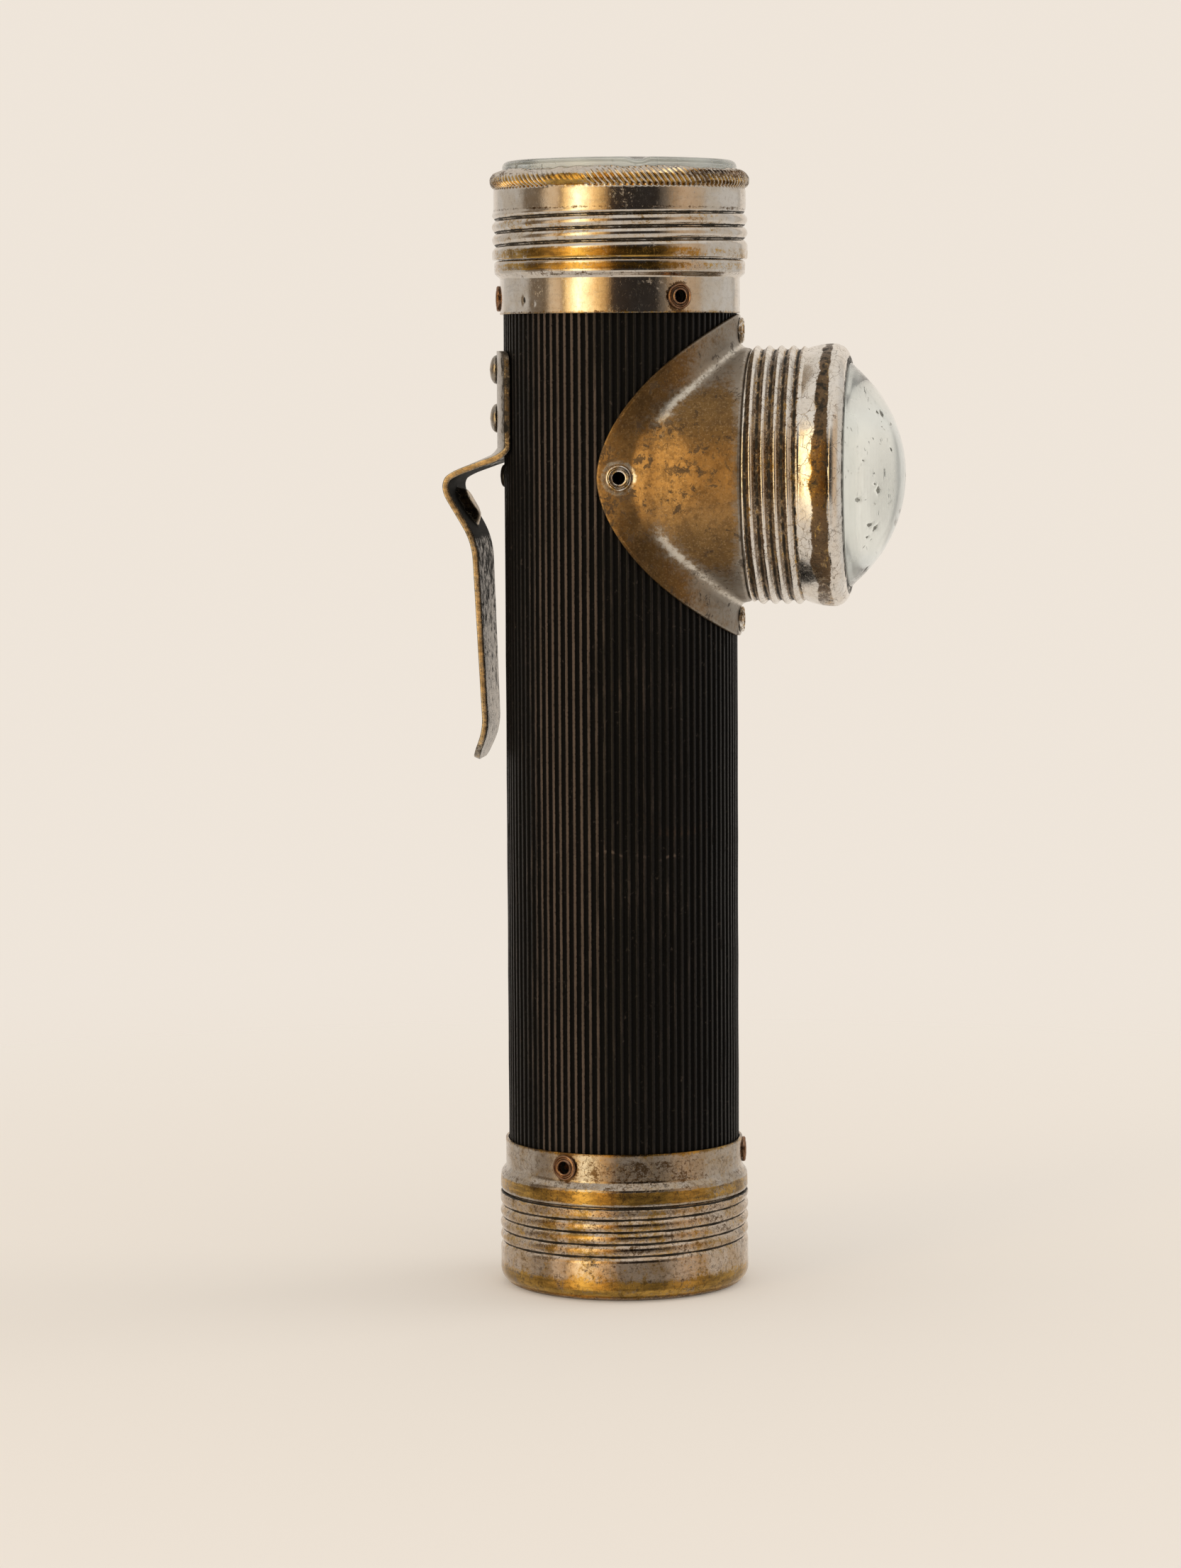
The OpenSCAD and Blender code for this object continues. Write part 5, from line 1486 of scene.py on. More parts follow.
@dataclass
class LampBase(Spun):
    """The screw base of a small lamp, from its solder tip up to the collar round the glass."""

    steps: int = 192
    grain: float = 0.2
    radius: float = 4.62
    tip_z: float = -10.4
    top_z: float = -0.5
    hole_r: float = 3.55
    kinds: ClassVar[tuple[str, ...]] = ()

    def outline(self) -> tuple[list[list[float]], list[list[float]]]:
        """The outside from the tip up to the collar, and the well round the neck of the glass."""
        tip, r = self.tip_z, self.radius
        outside = [[0.0, tip], [0.8, tip + 0.05], [1.3, tip + 0.35], [1.7, tip + 0.75], [2.4, tip + 1.4],
                   [r - 0.6, tip + 2.2], [r, tip + 2.8], [r, self.top_z - 0.4], [r - 0.4, self.top_z],
                   [self.hole_r + 0.1, self.top_z]]
        return outside, [[self.hole_r, self.top_z - 0.1], [self.hole_r, -1.4], [0.0, -1.4]]

    def reshape(self, theta: np.ndarray, r: np.ndarray, z: np.ndarray) -> \
            tuple[np.ndarray, np.ndarray, Marks]:
        """Rolls the screw thread."""
        groove = RolledThread(z=self.tip_z + 3.6, pitch=1.8, count=3, sharp=1.5).groove(theta, z)
        share = smooth(z, self.tip_z + 2.7, self.tip_z + 3.1) * (1 - smooth(z, -1.6, -1.0))
        return r - 0.42 * groove * share, z + 0 * theta, {}


@dataclass
class Lamp:
    """A small screw lamp: base, thin glass, and a filament on two wires in a glass bead."""

    name: str
    seat: Seat
    node: str
    coil_z: float = 5.6
    spread: float = 1.5

    def build(self, finishes: Finishes) -> None:
        """Makes the lamp's pieces on its reflector's vertex."""
        glass = LampGlass().shell().seated(self.seat).to_object(f"{self.name}_glass")
        settle(glass, finishes["lamp_glass"], "bulb_glass", Body.TORCH, f"{self.node}_glass")
        base = LampBase().shell().seated(self.seat).to_object(f"{self.name}_screw_base")
        settle(base, finishes["plain_brass"], "contact_brass", Body.TORCH, f"{self.node}_base")
        wires = Shell.joined([self.leg(-1), self.leg(1), self.coil(), self.bead()])
        piece = wires.seated(self.seat).to_object(f"{self.name}_filament")
        settle(piece, finishes["lamp_wire"], "spring_steel", Body.TORCH)

    def leg(self, side: int) -> Shell:
        """One of the two wires that carry the filament."""
        x = self.spread * side
        line = [[0.7 * side, 0, -1.3], [0.7 * side, 0, 1.6], [x, 0, self.coil_z - 0.6], [x, 0, self.coil_z]]
        return rod(refine(line, 0.4), 0.14)

    def coil(self) -> Shell:
        """The filament, a fine coil that sags a little between its wires."""
        t = np.linspace(-1, 1, 361)
        turn = TAU * 9 * t
        line = [self.spread * t, 0.24 * np.cos(turn), self.coil_z + 0.3 * (1 - t * t) + 0.24 * np.sin(turn)]
        return rod(np.stack(line, -1), 0.06, 6)

    def bead(self) -> Shell:
        """The glass bead that keeps the wires apart."""
        a = np.linspace(0.03, math.pi - 0.03, 13)
        b = np.arange(24) * TAU / 24
        flat = np.stack([1.15 * np.sin(a)[:, None] * np.cos(b), 0.55 * np.sin(a)[:, None] * np.sin(b),
                         1.5 + 0.5 * np.cos(a)[:, None] + 0 * b], -1)
        ball = Shell.grid(flat[::-1], False, True)
        last = 12 * 24
        ball.caps = [list(range(24)), list(range(last + 23, last - 1, -1))]
        return ball


@dataclass
class EndHead:
    """The end lens with its bezel, reflector and lamp."""

    seat_z: float = 167.9
    lens_z: float = 178.9
    vertex_z: float = 161.4

    def build(self, finishes: Finishes) -> None:
        """Makes the bezel and lens, and dresses what shines through."""
        bezel = EndBezel().shell().seated(Seat.upright(self.seat_z)).to_object("end_bezel_rolled")
        settle(bezel, finishes["bright_nickel"], "nickel_plate", Body.END_RING, "top_bezel")
        chips = (Dent(-75, 4.6, 1.1, 1.2, 0.45), Dent(-71, 4.6, 0.6, 1.0, 0.3), Dent(150, 4.6, 1.0, 1.0, 0.25))
        lens = Lens(chips=chips).shell().seated(Seat.upright(self.lens_z)).to_object("end_lens_pressed")
        settle(lens, finishes["pressed_glass"], "lens_glass", Body.END_GLASS, "top_lens")
        seat = Seat.upright(self.vertex_z)
        dish = Reflector().shell().seated(seat).to_object("end_reflector_spun")
        settle(dish, finishes["silvered"], "reflector_silver", Body.TORCH, "top_reflector")
        Lamp("end_lamp", seat, "top_bulb").build(finishes)


@dataclass
class Saddle:
    """The pressed saddle: a flange wrapped round the tube that flows into the head's collar."""

    outer_r: float = 19.62
    thick: float = 0.5
    half: float = 26.07
    wrap: float = 94.6
    power: float = 1.72
    collar_r: float = 20.57
    collar_x: float = 21.5
    tail_x: float = 3.8
    tail_len: float = 6.5
    tail_sunk: float = 0.62
    neck_r: float = 19.57
    neck_x: float = 34.0
    fillet: float = 1.7
    columns: int = 480
    dish: float = 0.22

    def collar(self, p: np.ndarray) -> np.ndarray:
        """Radius of the collar near a point, with its tail sunk in the flange, most gently halfway up."""
        low, gentle = self.outer_r - self.tail_sunk, np.exp(-(p[..., 2] / 8.5) ** 2)
        share = (p[..., 0] - self.tail_x + 1.6 * gentle) / (self.tail_len + 6.5 * gentle)
        return low + (self.collar_r - low) * smooth(share, 0, 1)

    def distance(self, p: np.ndarray) -> np.ndarray:
        """Signed distance from the pressing's outer face: flange and collar, filleted together."""
        flat = np.hypot(p[..., 0], p[..., 1])
        reach = np.hypot(p[..., 1], p[..., 2])
        flange, collar = flat - self.outer_r, reach - self.collar(p)
        facing = p[..., 1] ** 2 / np.maximum(flat * reach, 1e-6)
        k = self.fillet * np.sqrt(np.clip(1 - facing, 0.0025, 1))
        k = k + 1.8 * np.exp(-(p[..., 2] / 10) ** 2) * smooth(p[..., 0], 3.6, 7.0)
        h = np.clip(0.5 + 0.5 * (collar - flange) / k, 0, 1)
        return collar + (flange - collar) * h - k * h * (1 - h)

    def gradient(self, p: np.ndarray) -> np.ndarray:
        """Direction in which the distance grows."""
        d = 0.01
        steps = [np.array(v) for v in ((d, 0, 0), (0, d, 0), (0, 0, d))]
        return np.stack([(self.distance(p + s) - self.distance(p - s)) / (2 * d) for s in steps], -1)

    def edge(self, alpha: np.ndarray) -> np.ndarray:
        """Points of the flange's edge, a superellipse laid round the tube, by angle round the head."""
        up = np.sin(np.linspace(-math.pi / 2, math.pi / 2, 4001))
        share = np.maximum(0, 1 - np.abs(up) ** self.power) ** (1 / self.power)
        bearing = np.radians(self.wrap * share)
        side, high = self.outer_r * np.sin(bearing), self.half * up
        angle = np.arctan2(high, side)
        folded = np.arctan2(np.sin(alpha), np.abs(np.cos(alpha)))
        mirror = np.where(np.cos(alpha) < 0, -1.0, 1.0)
        return np.stack([np.interp(folded, angle, self.outer_r * np.cos(bearing)),
                         mirror * np.interp(folded, angle, side), np.interp(folded, angle, high)], -1)

    def face(self) -> tuple[np.ndarray, np.ndarray]:
        """Outer face as rows from the flange's edge to the neck's end, and its outward normals."""
        alpha = np.arange(self.columns) * TAU / self.columns
        way = np.stack([np.cos(alpha), np.sin(alpha)], -1)
        start = self.edge(alpha)
        meet = np.sqrt(np.maximum(0, self.outer_r ** 2 - (self.collar_r * way[:, 0]) ** 2))
        root_x = np.maximum(meet, self.tail_x + 2.6) + 0.4 * np.exp(-((meet - 6) / 3) ** 2)
        root = np.column_stack([root_x, self.collar_r * way])
        end_x = self.collar_x - 0.5
        end = np.column_stack([np.full(self.columns, end_x), self.collar_r * way])
        lengths = np.linalg.norm(root - start, axis=1)[None, :, None]
        near = np.array([0.0, 0.08, 0.2, 0.4])[:, None, None] / lengths
        far = 1 - (1 - np.linspace(0, 1, 46)) ** 1.25
        shares = np.concatenate([near, near[-1:] + (1 - near[-1:]) * far[1:, None, None]])
        rows = start + (root - start) * shares
        along = np.linspace(0, 1, 31)[1:, None, None] ** 1.15
        rows = np.concatenate([rows, root + (end - root) * along])
        rows[4:] = self.settle_rows(rows[4:])
        normals = self.gradient(rows)
        normals /= np.linalg.norm(normals, axis=-1, keepdims=True)
        return rows, normals

    def settle_rows(self, rows: np.ndarray) -> np.ndarray:
        """Moves points onto the filleted face."""
        for _ in range(8):
            g = self.gradient(rows)
            rows = rows - (self.distance(rows) / np.maximum((g ** 2).sum(-1), 1e-6))[..., None] * g
        return rows

    def neck(self) -> tuple[np.ndarray, np.ndarray]:
        """Rows of the shoulder and the threaded neck, and their outward normals."""
        alpha = np.arange(self.columns) * TAU / self.columns
        shoulder = arc([self.collar_r - 0.5, self.collar_x - 0.5], 0.5, 15, 90, 6)
        line = refine([[self.neck_r, self.collar_x], [self.neck_r, self.neck_x - 0.1]], 0.2)
        profile = np.array([*shoulder, *line])
        r, x = profile[:, 0][:, None] + 0 * alpha, profile[:, 1][:, None] + 0 * alpha
        thread = RolledThread(z=self.collar_x + 1.6, pitch=1.96, count=5, sharp=0.9, front=-math.pi / 2)
        r = r - 0.22 * thread.groove(alpha - math.pi, x) * smooth(x, self.collar_x + 0.1, self.collar_x + 0.6)
        rows = np.stack([x, r * np.cos(alpha), r * np.sin(alpha)], -1)
        radial = np.stack([0 * x, np.cos(alpha) + 0 * x, np.sin(alpha) + 0 * x], -1)
        lean = np.array([math.sin(math.radians(a)) for a in np.linspace(15, 90, 7)] + [0.0] * len(line))
        lean = lean[:, None, None]
        normals = radial * np.sqrt(1 - lean ** 2) + lean * np.array([1.0, 0, 0])
        return rows, normals

    def build(self, finishes: Finishes) -> None:
        """Makes the pressing as one sheet with thickness, and pierces it for its eyelets."""
        face, out = self.face()
        neck, lean = self.neck()
        rows, normals = np.concatenate([face, neck]), np.concatenate([out, lean])
        inner = rows - normals * self.thick
        inner[len(face):] = self.inner_neck(neck)
        rows[0] -= normals[0] * 0.14
        rows[1] -= normals[1] * 0.03
        marks = {k: np.concatenate([v, 0 * v]) for k, v in self.marks(rows, len(face)).items()}
        rows[:len(face)] -= normals[:len(face)] * self.dishing(face)[..., None]
        points = np.concatenate([rows, inner[::-1]]) + np.array([0, 0, SETTING.head_z])
        piece = Shell.grid(points, True, True, marks).to_object("saddle_pressing", 35)
        pierce(piece, [plug(1.45, 18.0, 21.5, 32).seated(Seat.on_tube(b, 0, SETTING.head_z + up))
                       for b, up in Eyelets.SADDLE])
        settle(piece, finishes["tarnished_brass"], "saddle_brass", Body.TORCH, "side_saddle")

    def inner_neck(self, neck: np.ndarray) -> np.ndarray:
        """The neck's inner face, one sheet's thickness inside the outer one."""
        reach = np.hypot(neck[..., 1], neck[..., 2])
        inner_r = np.minimum(reach - self.thick, self.neck_r - 0.45)
        inner_x = np.minimum(neck[..., 0], np.maximum(self.collar_x - self.thick, neck[..., 0] - self.thick))
        return np.stack([inner_x, *(np.moveaxis(neck[..., 1:], -1, 0) * inner_r / reach)], -1)

    def to_eyelets(self, rows: np.ndarray) -> np.ndarray:
        """Distance of each point from the nearest eyelet's middle."""
        spots = [Seat.on_tube(b, self.outer_r, up).place for b, up in Eyelets.SADDLE]
        return np.minimum.reduce([np.linalg.norm(rows - spot, axis=-1) for spot in spots])

    def dishing(self, rows: np.ndarray) -> np.ndarray:
        """How far the sheet is pulled in round the eyelets, and its small unevenness."""
        pulled = 0.16 * np.exp(-(self.to_eyelets(rows) / 2.3) ** 4)
        x, y, z = rows[..., 0], rows[..., 1], rows[..., 2]
        wave = np.sin(0.5 * x + 0.31 * z + 1) * np.sin(0.23 * x - 0.44 * z) + np.sin(0.8 * z + 0.2 * y)
        inside = smooth(np.hypot(y, z), 3, 6) * (1 - smooth(x, self.collar_x - 3, self.collar_x - 1))
        return pulled + 0.02 * wave * inside * smooth(self.half - np.abs(z), 1, 4)

    def marks(self, rows: np.ndarray, faces: int) -> Marks:
        """Where plate is left, where a bright streak is painted, the painted highlight band at mid-height, and the
        stains.
        """
        x, z = rows[..., 0], rows[..., 2]
        flat, reach = np.hypot(x, rows[..., 1]), np.hypot(rows[..., 1], z)
        apart = (reach - self.collar(rows)) - (flat - self.outer_r)
        facing = rows[..., 1] ** 2 / np.maximum(flat * reach, 1e-6)
        turned = smooth(1 - facing, 0.03, 0.22)
        # Silver along the creases and a bright core in them: painted highlights, partly plate left in the creases.
        crease = np.exp(-(apart / 2.0) ** 2) * turned
        core = np.exp(-((apart + 0.15) / 0.85) ** 2) * turned * smooth(np.abs(z), 5, 10)
        high = smooth(np.abs(z) + 0.35 * (x - 16), 11.5, 18.5) * smooth(x, 8, 16)
        by_thread = smooth(x, self.collar_x - 2.4, self.collar_x - 0.5)
        ring = np.exp(-((self.to_eyelets(rows) - 2.5) / 0.5) ** 2)
        # Painted highlight: a lighter band at mid-height, darker above and below, most towards the head.
        middle = 1 - smooth(np.abs(z + 1), 2, 12)
        golden = middle - 0.25 * (1 - middle) * smooth(x, 8, 14)
        silver = np.clip(0.62 * crease + 0.70 * high + 0.55 * by_thread + 0.4 * ring, 0, 1)
        bright = np.clip((0.82 + 0.16 * np.sin(0.55 * z + 1.5)) * core
                         + 0.55 * smooth(x, self.collar_x - 1.0, self.collar_x - 0.2) + 0.8 * ring, 0, 1)
        spots = ((8.0, 7.8, 5.5, 1.9), (1.2, -4.5, 2.4, 2.6), (12.5, 1.5, 3.0, 1.2), (15.0, -15.5, 3.0, 1.2),
                 (0.0, 3.5, 2.5, 1.6), (6.0, -17.5, 1.2, 2.4))
        stained = sum(np.exp(-((x - a) / w) ** 2 - ((z - b) / h) ** 2) for a, b, w, h in spots)
        silver[faces:], bright[faces:] = 0.9, 0.4
        silver[:3] += 0.2
        return {"silver": silver, "bright": bright, "golden": golden, "stained": np.clip(stained, 0, 1)}


@dataclass
class SideHead:
    """The side head: saddle, eyelets, bezel, bull's-eye, reflector and lamp."""

    bezel_x: float = 21.7
    lens_x: float = 34.5
    vertex_x: float = 17.0

    def build(self, finishes: Finishes) -> None:
        """Makes the head's pieces and dresses what shines through the lens."""
        Saddle().build(finishes)
        spots = [(b, SETTING.head_z + up) for b, up in Eyelets.SADDLE]
        row = Eyelets.row("saddle_eyelets_rolled", spots, 19.62)
        settle(row, finishes["head_nickel"], "nickel_worn", Body.TORCH, "saddle_eyelets")
        bezel = SideBezel().shell().seated(Seat.on_head(self.bezel_x)).to_object("side_bezel_rolled")
        settle(bezel, finishes["head_nickel"], "nickel_worn", Body.SIDE_RING, "side_bezel")
        nicks = ((-146, 12.0, 0.45), (-142, 12.9, 0.36), (-80, 12.3, 0.40), (-85, 13.0, 0.25), (-77, 16.1, 0.34),
                 (-57, 14.2, 0.48), (-51, 13.2, 0.40), (-49, 14.8, 0.28), (-118, 9.0, 0.24), (-100, 15.2, 0.22),
                 (60, 11.0, 0.40), (100, 14.0, 0.35), (-15, 15.5, 0.30), (150, 12.0, 0.35))
        eye = Lens(edge_h=1.9, eye_r=18.1, shoulder=3.4, round=0.3, rise=8.6, seed=9, painted_sheen_width=2.6, painted_sheen_level=0.3,
                   nicks=nicks, steps=512, grain=0.2)
        lens = eye.shell().seated(Seat.on_head(self.lens_x)).to_object("bulls_eye_pressed")
        settle(lens, finishes["pressed_glass"], "lens_glass", Body.SIDE_GLASS, "side_lens")
        seat = Seat.on_head(self.vertex_x)
        dish = Reflector().shell().seated(seat).to_object("side_reflector_spun")
        settle(dish, finishes["silvered"], "reflector_silver", Body.TORCH, "side_reflector")
        Lamp("side_lamp", seat, "side_bulb").build(finishes)


@dataclass
class BeltClip:
    """The belt clip: one strip of spring steel, riveted at its top, bent to a knee below."""

    plate_r: float = 20.12
    tube_r: float = 19.0
    top_z: float = 153.23
    bend_z: float = 137.63
    knee: float = 8.94
    gap: float = 3.1
    long: float = 50.5
    thick: float = 1.0
    wide: float = 19.0
    tip_wide: float = 13.0
    corner: float = 0.16
    boss_at: float = 10.0
    boss_long: float = 3.6
    boss_wide: float = 0.42
    boss_deep: float = 1.5

    def section(self) -> tuple[np.ndarray, np.ndarray, np.ndarray]:
        """One ring round the strip: place across, place through, and the corners' directions."""
        turn = np.linspace(0, math.pi / 2, 4)
        side, flat, corner = [], [], []
        for s, f, start in ((1, 1, 0.0), (-1, 1, 0.5), (-1, -1, 1.0), (1, -1, 1.5)):
            for a in turn + start * math.pi:
                side.append(s)
                flat.append(f)
                corner.append([math.cos(a), math.sin(a)])
            if start in (0.0, 1.0):
                for t in np.linspace(s, -s, 23)[1:-1]:
                    side.append(t)
                    flat.append(f)
                    corner.append([0.0, f])
            else:
                side += [s, s]
                flat += [f / 3, -f / 3]
                corner += [[s, 0.0], [s, 0.0]]
        return np.array(side), np.array(flat), np.array(corner).T

    def path(self) -> np.ndarray:
        """The outer face from the plate's top down to the tip, as [distance from the axis, height]."""
        z = self.bend_z - 0.1
        round_knee = 4.4
        top = np.array([self.plate_r, z])
        bend = top + [0.6, -1]
        knee = np.array([self.tube_r + self.knee + 0.35 * round_knee, z - 4.8])
        low = np.array([self.tube_r + self.gap + 1.3, z - 15.2])
        close = np.array([self.tube_r + self.gap, z - self.long + 4.6])
        tip = np.array([self.tube_r + self.gap + 1.9, z - self.long])
        corners = [np.array([self.plate_r, self.top_z]), top, *bend_corner(top, bend, knee, 0.8),
                   *bend_corner(bend, knee, low, round_knee, 14), *bend_corner(knee, low, close, 3.0),
                   *bend_corner(low, close, tip, 2.2), tip]
        return refine(corners, 0.45)

    def build(self, finishes: Finishes) -> None:
        """Makes the strip, which bends where the leg leaves the plate, and its rivets."""
        line = self.path()
        way = np.gradient(line, axis=0)
        way /= np.linalg.norm(way, axis=1, keepdims=True)
        inward = np.column_stack([way[:, 1], -way[:, 0]])
        run = np.clip((self.bend_z - line[:, 1]) / self.long, 0, 1)
        half = (self.wide + (self.tip_wide - self.wide) * run) / 2
        from_top, from_tip = self.top_z - line[:, 1], line[:, 1] - line[-1, 1]
        for off, size in ((from_top, 2.2), (from_tip, 3.5)):
            short = np.clip(1 - off / size, 0, 1)
            half = half - size * 0.8 * (1 - np.sqrt(1 - short ** 2))
        curve = 1 - np.clip(run / 0.09, 0, 1)
        side, flat, corner = self.section()
        y = side[None, :] * (half[:, None] - self.corner) + corner[0] * self.corner
        below = self.bend_z - line[:, 1]
        oval = 1 - (y / (self.boss_wide * half[:, None])) ** 2 - ((below - self.boss_at) / self.boss_long)[:, None] ** 2
        boss = self.boss_deep * smooth(oval, 0.0, 0.75)
        deep = self.thick / 2 - flat * (self.thick / 2 - self.corner) - corner[1] * self.corner
        in_by = deep[None, :] + boss
        bow = curve[:, None] * (self.plate_r - np.sqrt(self.plate_r ** 2 - y ** 2))
        x = -(line[:, 0][:, None] + in_by * inward[:, 0][:, None]) + bow
        points = np.stack([x, y, line[:, 1][:, None] + in_by * inward[:, 1][:, None]], -1)
        inner = (flat < 0)[None, :] & (np.abs(corner[0]) < 0.5)[None, :]
        edge = np.maximum(np.abs(corner[0]), np.abs(side) > 0.999)[None, :] + 0 * y
        # Painted shade: the inner face black near the knee.
        shade = smooth(below, 1.5, 5) * (1 - smooth(below, 13, 15.5))
        on_boss = smooth(oval, 0.03, 0.22)
        # The inner face darker near the knee and lighter towards the tip: painted shade, partly tarnish.
        down = smooth(below, 13, 50)[:, None]
        # The top of the plate is darker and browner along its edge on the -Y side.
        high_up = (1 - smooth(below, -3, 2))[:, None] * smooth(-y / half[:, None], 0.7, 1.0)
        marks = {"bare": np.clip(0.50 * edge * (1 - 0.5 * high_up) + 0.8 * on_boss * inner, 0, 1),
                 "brown": np.clip(inner * (0.82 - 0.40 * down) * (1 - on_boss) + 0.30 * edge + 0.5 * high_up, 0, 1),
                 "grime": np.clip(inner * (1 - on_boss) * (1.25 * shade[:, None] + 0.56 - 0.30 * down)
                                  + high_up * (0.75 - 0.20 * edge), 0, 1)}
        shell = Shell.grid(points, False, True, marks)
        around = len(side)
        last = (len(line) - 1) * around
        shell.caps = [list(range(around)), list(range(last + around - 1, last - 1, -1))]
        strip = shell.to_object("clip_strip_bent", 50)
        strip.data.materials.append(finishes["clip_steel"])
        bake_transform(strip)
        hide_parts("clip_plate", "clip_leg")
        log.info("%s: %d points", strip.name, len(strip.data.vertices))
        domes = [RivetDome().shell().seated(Seat.on_tube(180, self.plate_r, z)) for z in (150.23, 142.33)]
        rivets = Shell.joined(domes).to_object("clip_rivet_domes")
        settle(rivets, finishes["clip_steel"], "spring_steel", Body.TORCH, "clip_rivets")


@dataclass
class Base:
    """The bottom cap, the wound spring under the cells and its cup."""

    coil_low_r: float = 10.0
    coil_high_r: float = 7.0
    turns: int = 4
    wire: float = 1.1
    low_z: float = 1.6
    high_z: float = 8.4

    def build(self, finishes: Finishes) -> None:
        """Makes the cap and spring and dresses the cup."""
        cap = BottomCap().shell().to_object("bottom_cap_rolled")
        settle(cap, finishes["mottled_brass"], "cap_brass", Body.CAP, "bottom_cap")
        dress("spring_seat", finishes["plain_brass"])
        t = np.linspace(0, self.turns, 48 * self.turns + 1)
        share = t / self.turns
        r = self.coil_low_r + (self.coil_high_r - self.coil_low_r) * share
        a = TAU * t
        line = np.stack([r * np.cos(a), r * np.sin(a), self.low_z + (self.high_z - self.low_z) * share], -1)
        spring = rod(line, self.wire / 2).to_object("cell_spring_wound")
        spring.data.materials.append(finishes["spring_wire"])
        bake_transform(spring)
        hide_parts("bottom_spring")
        log.info("%s: %d points", spring.name, len(spring.data.vertices))


@dataclass
class Inside:
    """The switch and what the tube holds, which keep their shapes and get their finishes."""

    looks: tuple[tuple[str, str], ...] = (
        ("switch_plate", "bright_nickel"), ("switch_eyelets", "grey_nickel"),
        ("switch_thumb", "bright_nickel"), ("switch_shoe", "plain_brass"),
        ("lamp_block", "red_fibre"), ("centre_contact", "plain_brass"),
        ("side_contact", "plain_brass"), ("feed_strip", "plain_brass"),
        ("end_lamp_strip", "plain_brass"), ("side_lamp_strip", "plain_brass"),
        ("upper_cell", "waxed_carton"), ("upper_cell_cap", "plain_brass"),
        ("lower_cell", "waxed_carton"), ("lower_cell_cap", "plain_brass"))

    def build(self, finishes: Finishes) -> None:
        """Dresses each piece."""
        for node, finish in self.looks:
            dress(node, finishes[finish])


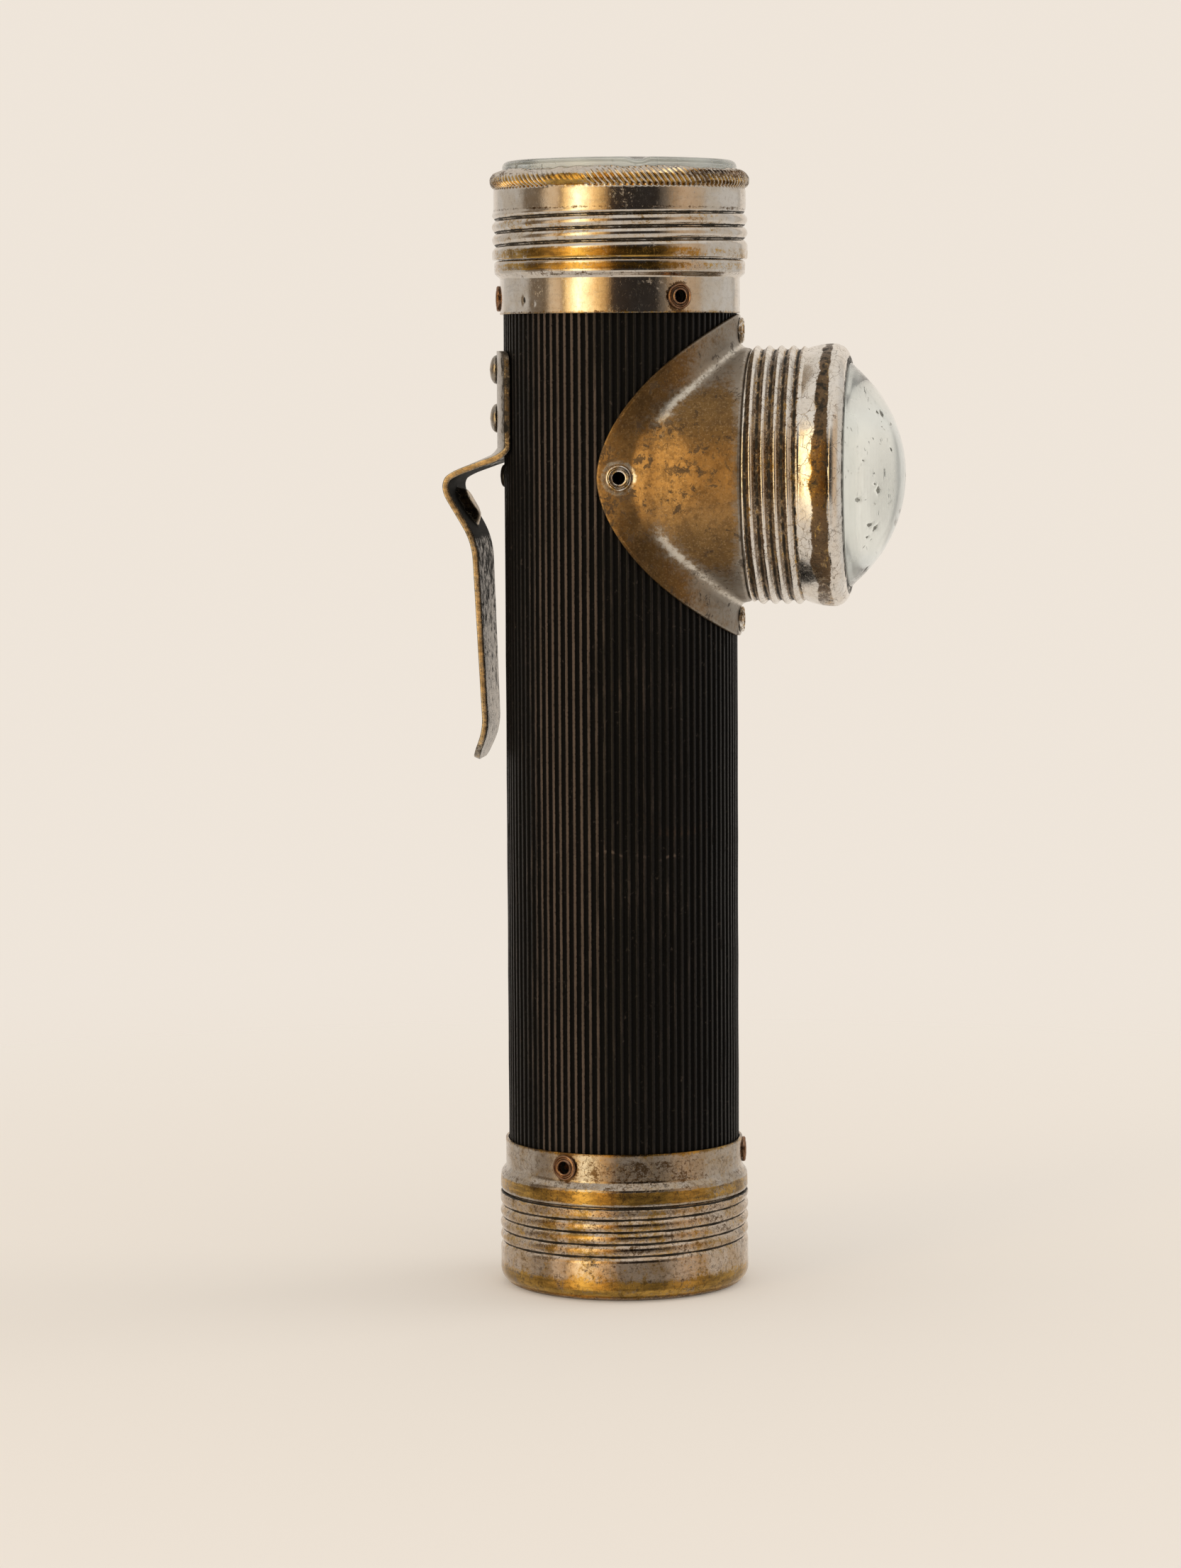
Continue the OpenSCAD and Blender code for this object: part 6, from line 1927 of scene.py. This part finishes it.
@dataclass
class Studio:
    """Camera, floor, lamps and the surroundings that the metal reflects."""

    camera_at: tuple[float, float, float] = (0.0911, -0.7420, 0.1499)
    lens_mm: float = 104.96
    pitch: float = 84.84
    heading: float = 7.40
    roll: float = -0.32
    backdrop: Colour = (0.86, 0.785, 0.70)
    overhead: Colour = (0.80, 0.755, 0.70)
    floor_r: float = 0.9

    def build(self) -> None:
        """Makes everything that isn't the flashlight."""
        self.camera()
        self.surroundings()
        self.floor()
        warm = self.lamp("warm_softbox", -124.5, 1.2, 0.10, (0.42, 0.75), 4.2, (1.0, 0.70, 0.36))
        fill = self.lamp("high_fill", 20.0, 1.3, 0.9, (0.9, 0.9), 3.6, (1.0, 0.95, 0.88))
        for lamp in (warm, fill):
            lamp.visible_glossy = lamp.visible_transmission = False

    def camera(self) -> None:
        """Sets the camera at the photograph's angle."""
        data = bpy.data.cameras.new("camera")
        data.lens, data.sensor_width, data.sensor_fit = self.lens_mm, 36.0, "AUTO"
        data.clip_start, data.clip_end = 0.01, 20.0
        camera = bpy.data.objects.new("camera", data)
        bpy.context.scene.collection.objects.link(camera)
        turn = (Matrix.Rotation(math.radians(self.heading), 4, "Z")
                @ Matrix.Rotation(math.radians(self.pitch), 4, "X")
                @ Matrix.Rotation(math.radians(self.roll), 4, "Z"))
        camera.matrix_world = Matrix.Translation(self.camera_at) @ turn
        bpy.context.scene.camera = camera

    def surroundings(self) -> None:
        """A room by bearing from the camera: warm at its left, dark behind it, pale elsewhere."""
        world = bpy.data.worlds.new("room")
        world.use_nodes = True
        bpy.context.scene.world = world
        g = Graph(world.node_tree)
        way = g.node("ShaderNodeTexCoord").outputs["Generated"]
        turned = g.node("ShaderNodeMapping", {0: way, 2: (0.0, 0.0, math.radians(83))},
                        vector_type="POINT").outputs[0]
        parts = g.node("ShaderNodeSeparateXYZ", {0: turned})
        bearing = g.math("ARCTAN2", parts.outputs[1], parts.outputs[0])
        share = g.math("ADD", g.math("DIVIDE", bearing, TAU), 0.5)
        stops = [(-180, (0.86, 0.785, 0.70)), (-152, (0.84, 0.77, 0.70)), (-146, (0.66, 0.62, 0.57)),
                 (-100, (0.58, 0.54, 0.49)), (-95, (0.24, 0.19, 0.14)), (-75, (0.22, 0.16, 0.105)),
                 (-70, (0.88, 0.68, 0.46)), (-59, (0.88, 0.64, 0.40)), (-56, (0.30, 0.19, 0.09)),
                 (-53, (1.3, 0.86, 0.36)), (-47, (1.9, 1.35, 0.62)), (-40, (2.6, 2.3, 1.55)),
                 (-32, (2.2, 1.75, 0.95)), (-25, (1.6, 1.05, 0.45)), (-17, (0.95, 0.58, 0.22)),
                 (-11, (0.50, 0.29, 0.12)), (-8.5, (0.075, 0.050, 0.034)), (-2, (0.048, 0.035, 0.027)),
                 (14, (0.030, 0.025, 0.022)), (36, (0.036, 0.030, 0.026)), (38.5, (0.17, 0.14, 0.11)), (44, (0.20, 0.16, 0.12)),
                 (48, (0.42, 0.30, 0.19)), (60, (0.68, 0.50, 0.34)), (82, (0.58, 0.46, 0.34)),
                 (88, (0.64, 0.61, 0.57)), (137, (0.68, 0.65, 0.61)), (142, (0.5, 0.47, 0.43)),
                 (147, (0.86, 0.785, 0.70)), (180, (0.86, 0.785, 0.70))]
        ramp = g.node("ShaderNodeValToRGB", {0: share})
        most = max(max(c) for _, c in stops)
        self.fill_ramp(ramp.color_ramp, [((a + 180) / 360, tuple(v / most for v in c)) for a, c in stops])
        room = g.node("ShaderNodeVectorMath", {0: ramp.outputs[0], "Scale": most}, operation="SCALE").outputs[0]
        high = g.math("ABSOLUTE", g.math("SUBTRACT", parts.outputs[2], 0.12))
        seen = g.mix(g.share(high, 0.34, 0.60), room, self.overhead)
        path = g.node("ShaderNodeLightPath")
        mirror = g.math("MAXIMUM", path.outputs["Is Glossy Ray"], path.outputs["Is Transmission Ray"])
        colour = g.mix(mirror, (0.72, 0.68, 0.63), seen)
        colour = g.mix(path.outputs["Is Camera Ray"], colour, self.backdrop)
        light = g.node("ShaderNodeBackground", {0: colour, 1: 1.0})
        g.node("ShaderNodeOutputWorld", {0: light.outputs[0]})

    @staticmethod
    def fill_ramp(ramp: bpy.types.ColorRamp, stops: Sequence[tuple[float, Colour]]) -> None:
        """Puts colours at their places on a ramp."""
        while len(ramp.elements) > 1:
            ramp.elements.remove(ramp.elements[-1])
        ramp.elements[0].position, ramp.elements[0].color = stops[0][0], (*stops[0][1], 1.0)
        for place, colour in stops[1:]:
            ramp.elements.new(place).color = (*colour, 1.0)

    def floor(self) -> None:
        """A pale disc that fades into the backdrop away from the flashlight."""
        radii = np.concatenate([[0.0], np.linspace(40, self.floor_r / MM, 12)])
        a = np.arange(96) * TAU / 96
        points = np.stack([radii[:, None] * np.cos(a), radii[:, None] * np.sin(a),
                           0 * radii[:, None] + 0 * a], -1)
        floor = Shell.grid(points, False, True).to_object("floor")
        material, g = new_material("pale_floor")
        where = g.node("ShaderNodeTexCoord").outputs["Object"]
        away = g.node("ShaderNodeVectorMath", {0: where}, operation="LENGTH").outputs["Value"]
        gone = g.share(away, 0.10, 0.42)
        paper = g.node("ShaderNodeBsdfDiffuse", {"Color": (0.80, 0.765, 0.725)})
        seen = g.node("ShaderNodeLightPath")
        lift = g.math("MAXIMUM", seen.outputs["Is Camera Ray"], seen.outputs["Is Glossy Ray"])
        glow = g.node("ShaderNodeEmission", {0: (0.86, 0.78, 0.68), 1: g.math("MULTIPLY", lift, 0.22)})
        pale = g.node("ShaderNodeAddShader", {0: paper.outputs[0], 1: glow.outputs[0]})
        sheen = g.node("ShaderNodeBsdfGlossy", {"Color": (0.9, 0.88, 0.86), "Roughness": 0.12})
        pale = g.node("ShaderNodeMixShader", {0: g.math("MULTIPLY", seen.outputs["Is Glossy Ray"], 0.65),
                                              1: pale.outputs[0], 2: sheen.outputs[0]})
        clear = g.node("ShaderNodeBsdfTransparent")
        both = g.node("ShaderNodeMixShader", {0: gone, 1: pale.outputs[0], 2: clear.outputs[0]})
        g.node("ShaderNodeOutputMaterial", {0: both.outputs[0]})
        floor.data.materials.append(material)

    @staticmethod
    def lamp(name: str, bearing: float, away: float, z: float, size: tuple[float, float],
             watts: float, colour: Colour) -> bpy.types.Object:
        """Adds a soft rectangular lamp that faces the flashlight.

        Args:
            name: its name.
            bearing: degrees round the tube from the side head.
            away: distance in metres.
            z: height in metres.
            size: width and height in metres.
            watts: its power.
            colour: its colour.

        Returns:
            The lamp.
        """
        data = bpy.data.lights.new(name, "AREA")
        data.shape, data.size, data.size_y = "RECTANGLE", size[0], size[1]
        data.energy, data.color = watts, colour
        lamp = bpy.data.objects.new(name, data)
        a = math.radians(bearing)
        lamp.location = (away * math.cos(a), away * math.sin(a), z)
        aim = Vector((0, 0, 0.1)) - lamp.location
        lamp.rotation_euler = aim.to_track_quat("-Z", "Y").to_euler()
        bpy.context.scene.collection.objects.link(lamp)
        return lamp


def main() -> None:
    """Builds the flashlight's sub-assemblies in order, then the studio round them."""
    logging.basicConfig(level=logging.INFO, format="%(name)s: %(message)s")
    finishes = Finishes()
    for assembly in (RibbedTube(), Ferrules(), EndHead(), SideHead(), BeltClip(), Base(), Inside()):
        log.info("building %s", type(assembly).__name__)
        assembly.build(finishes)
    Studio().build()
    bpy.context.scene.view_settings.view_transform = "Standard"


if __name__ == "__main__":
    main()
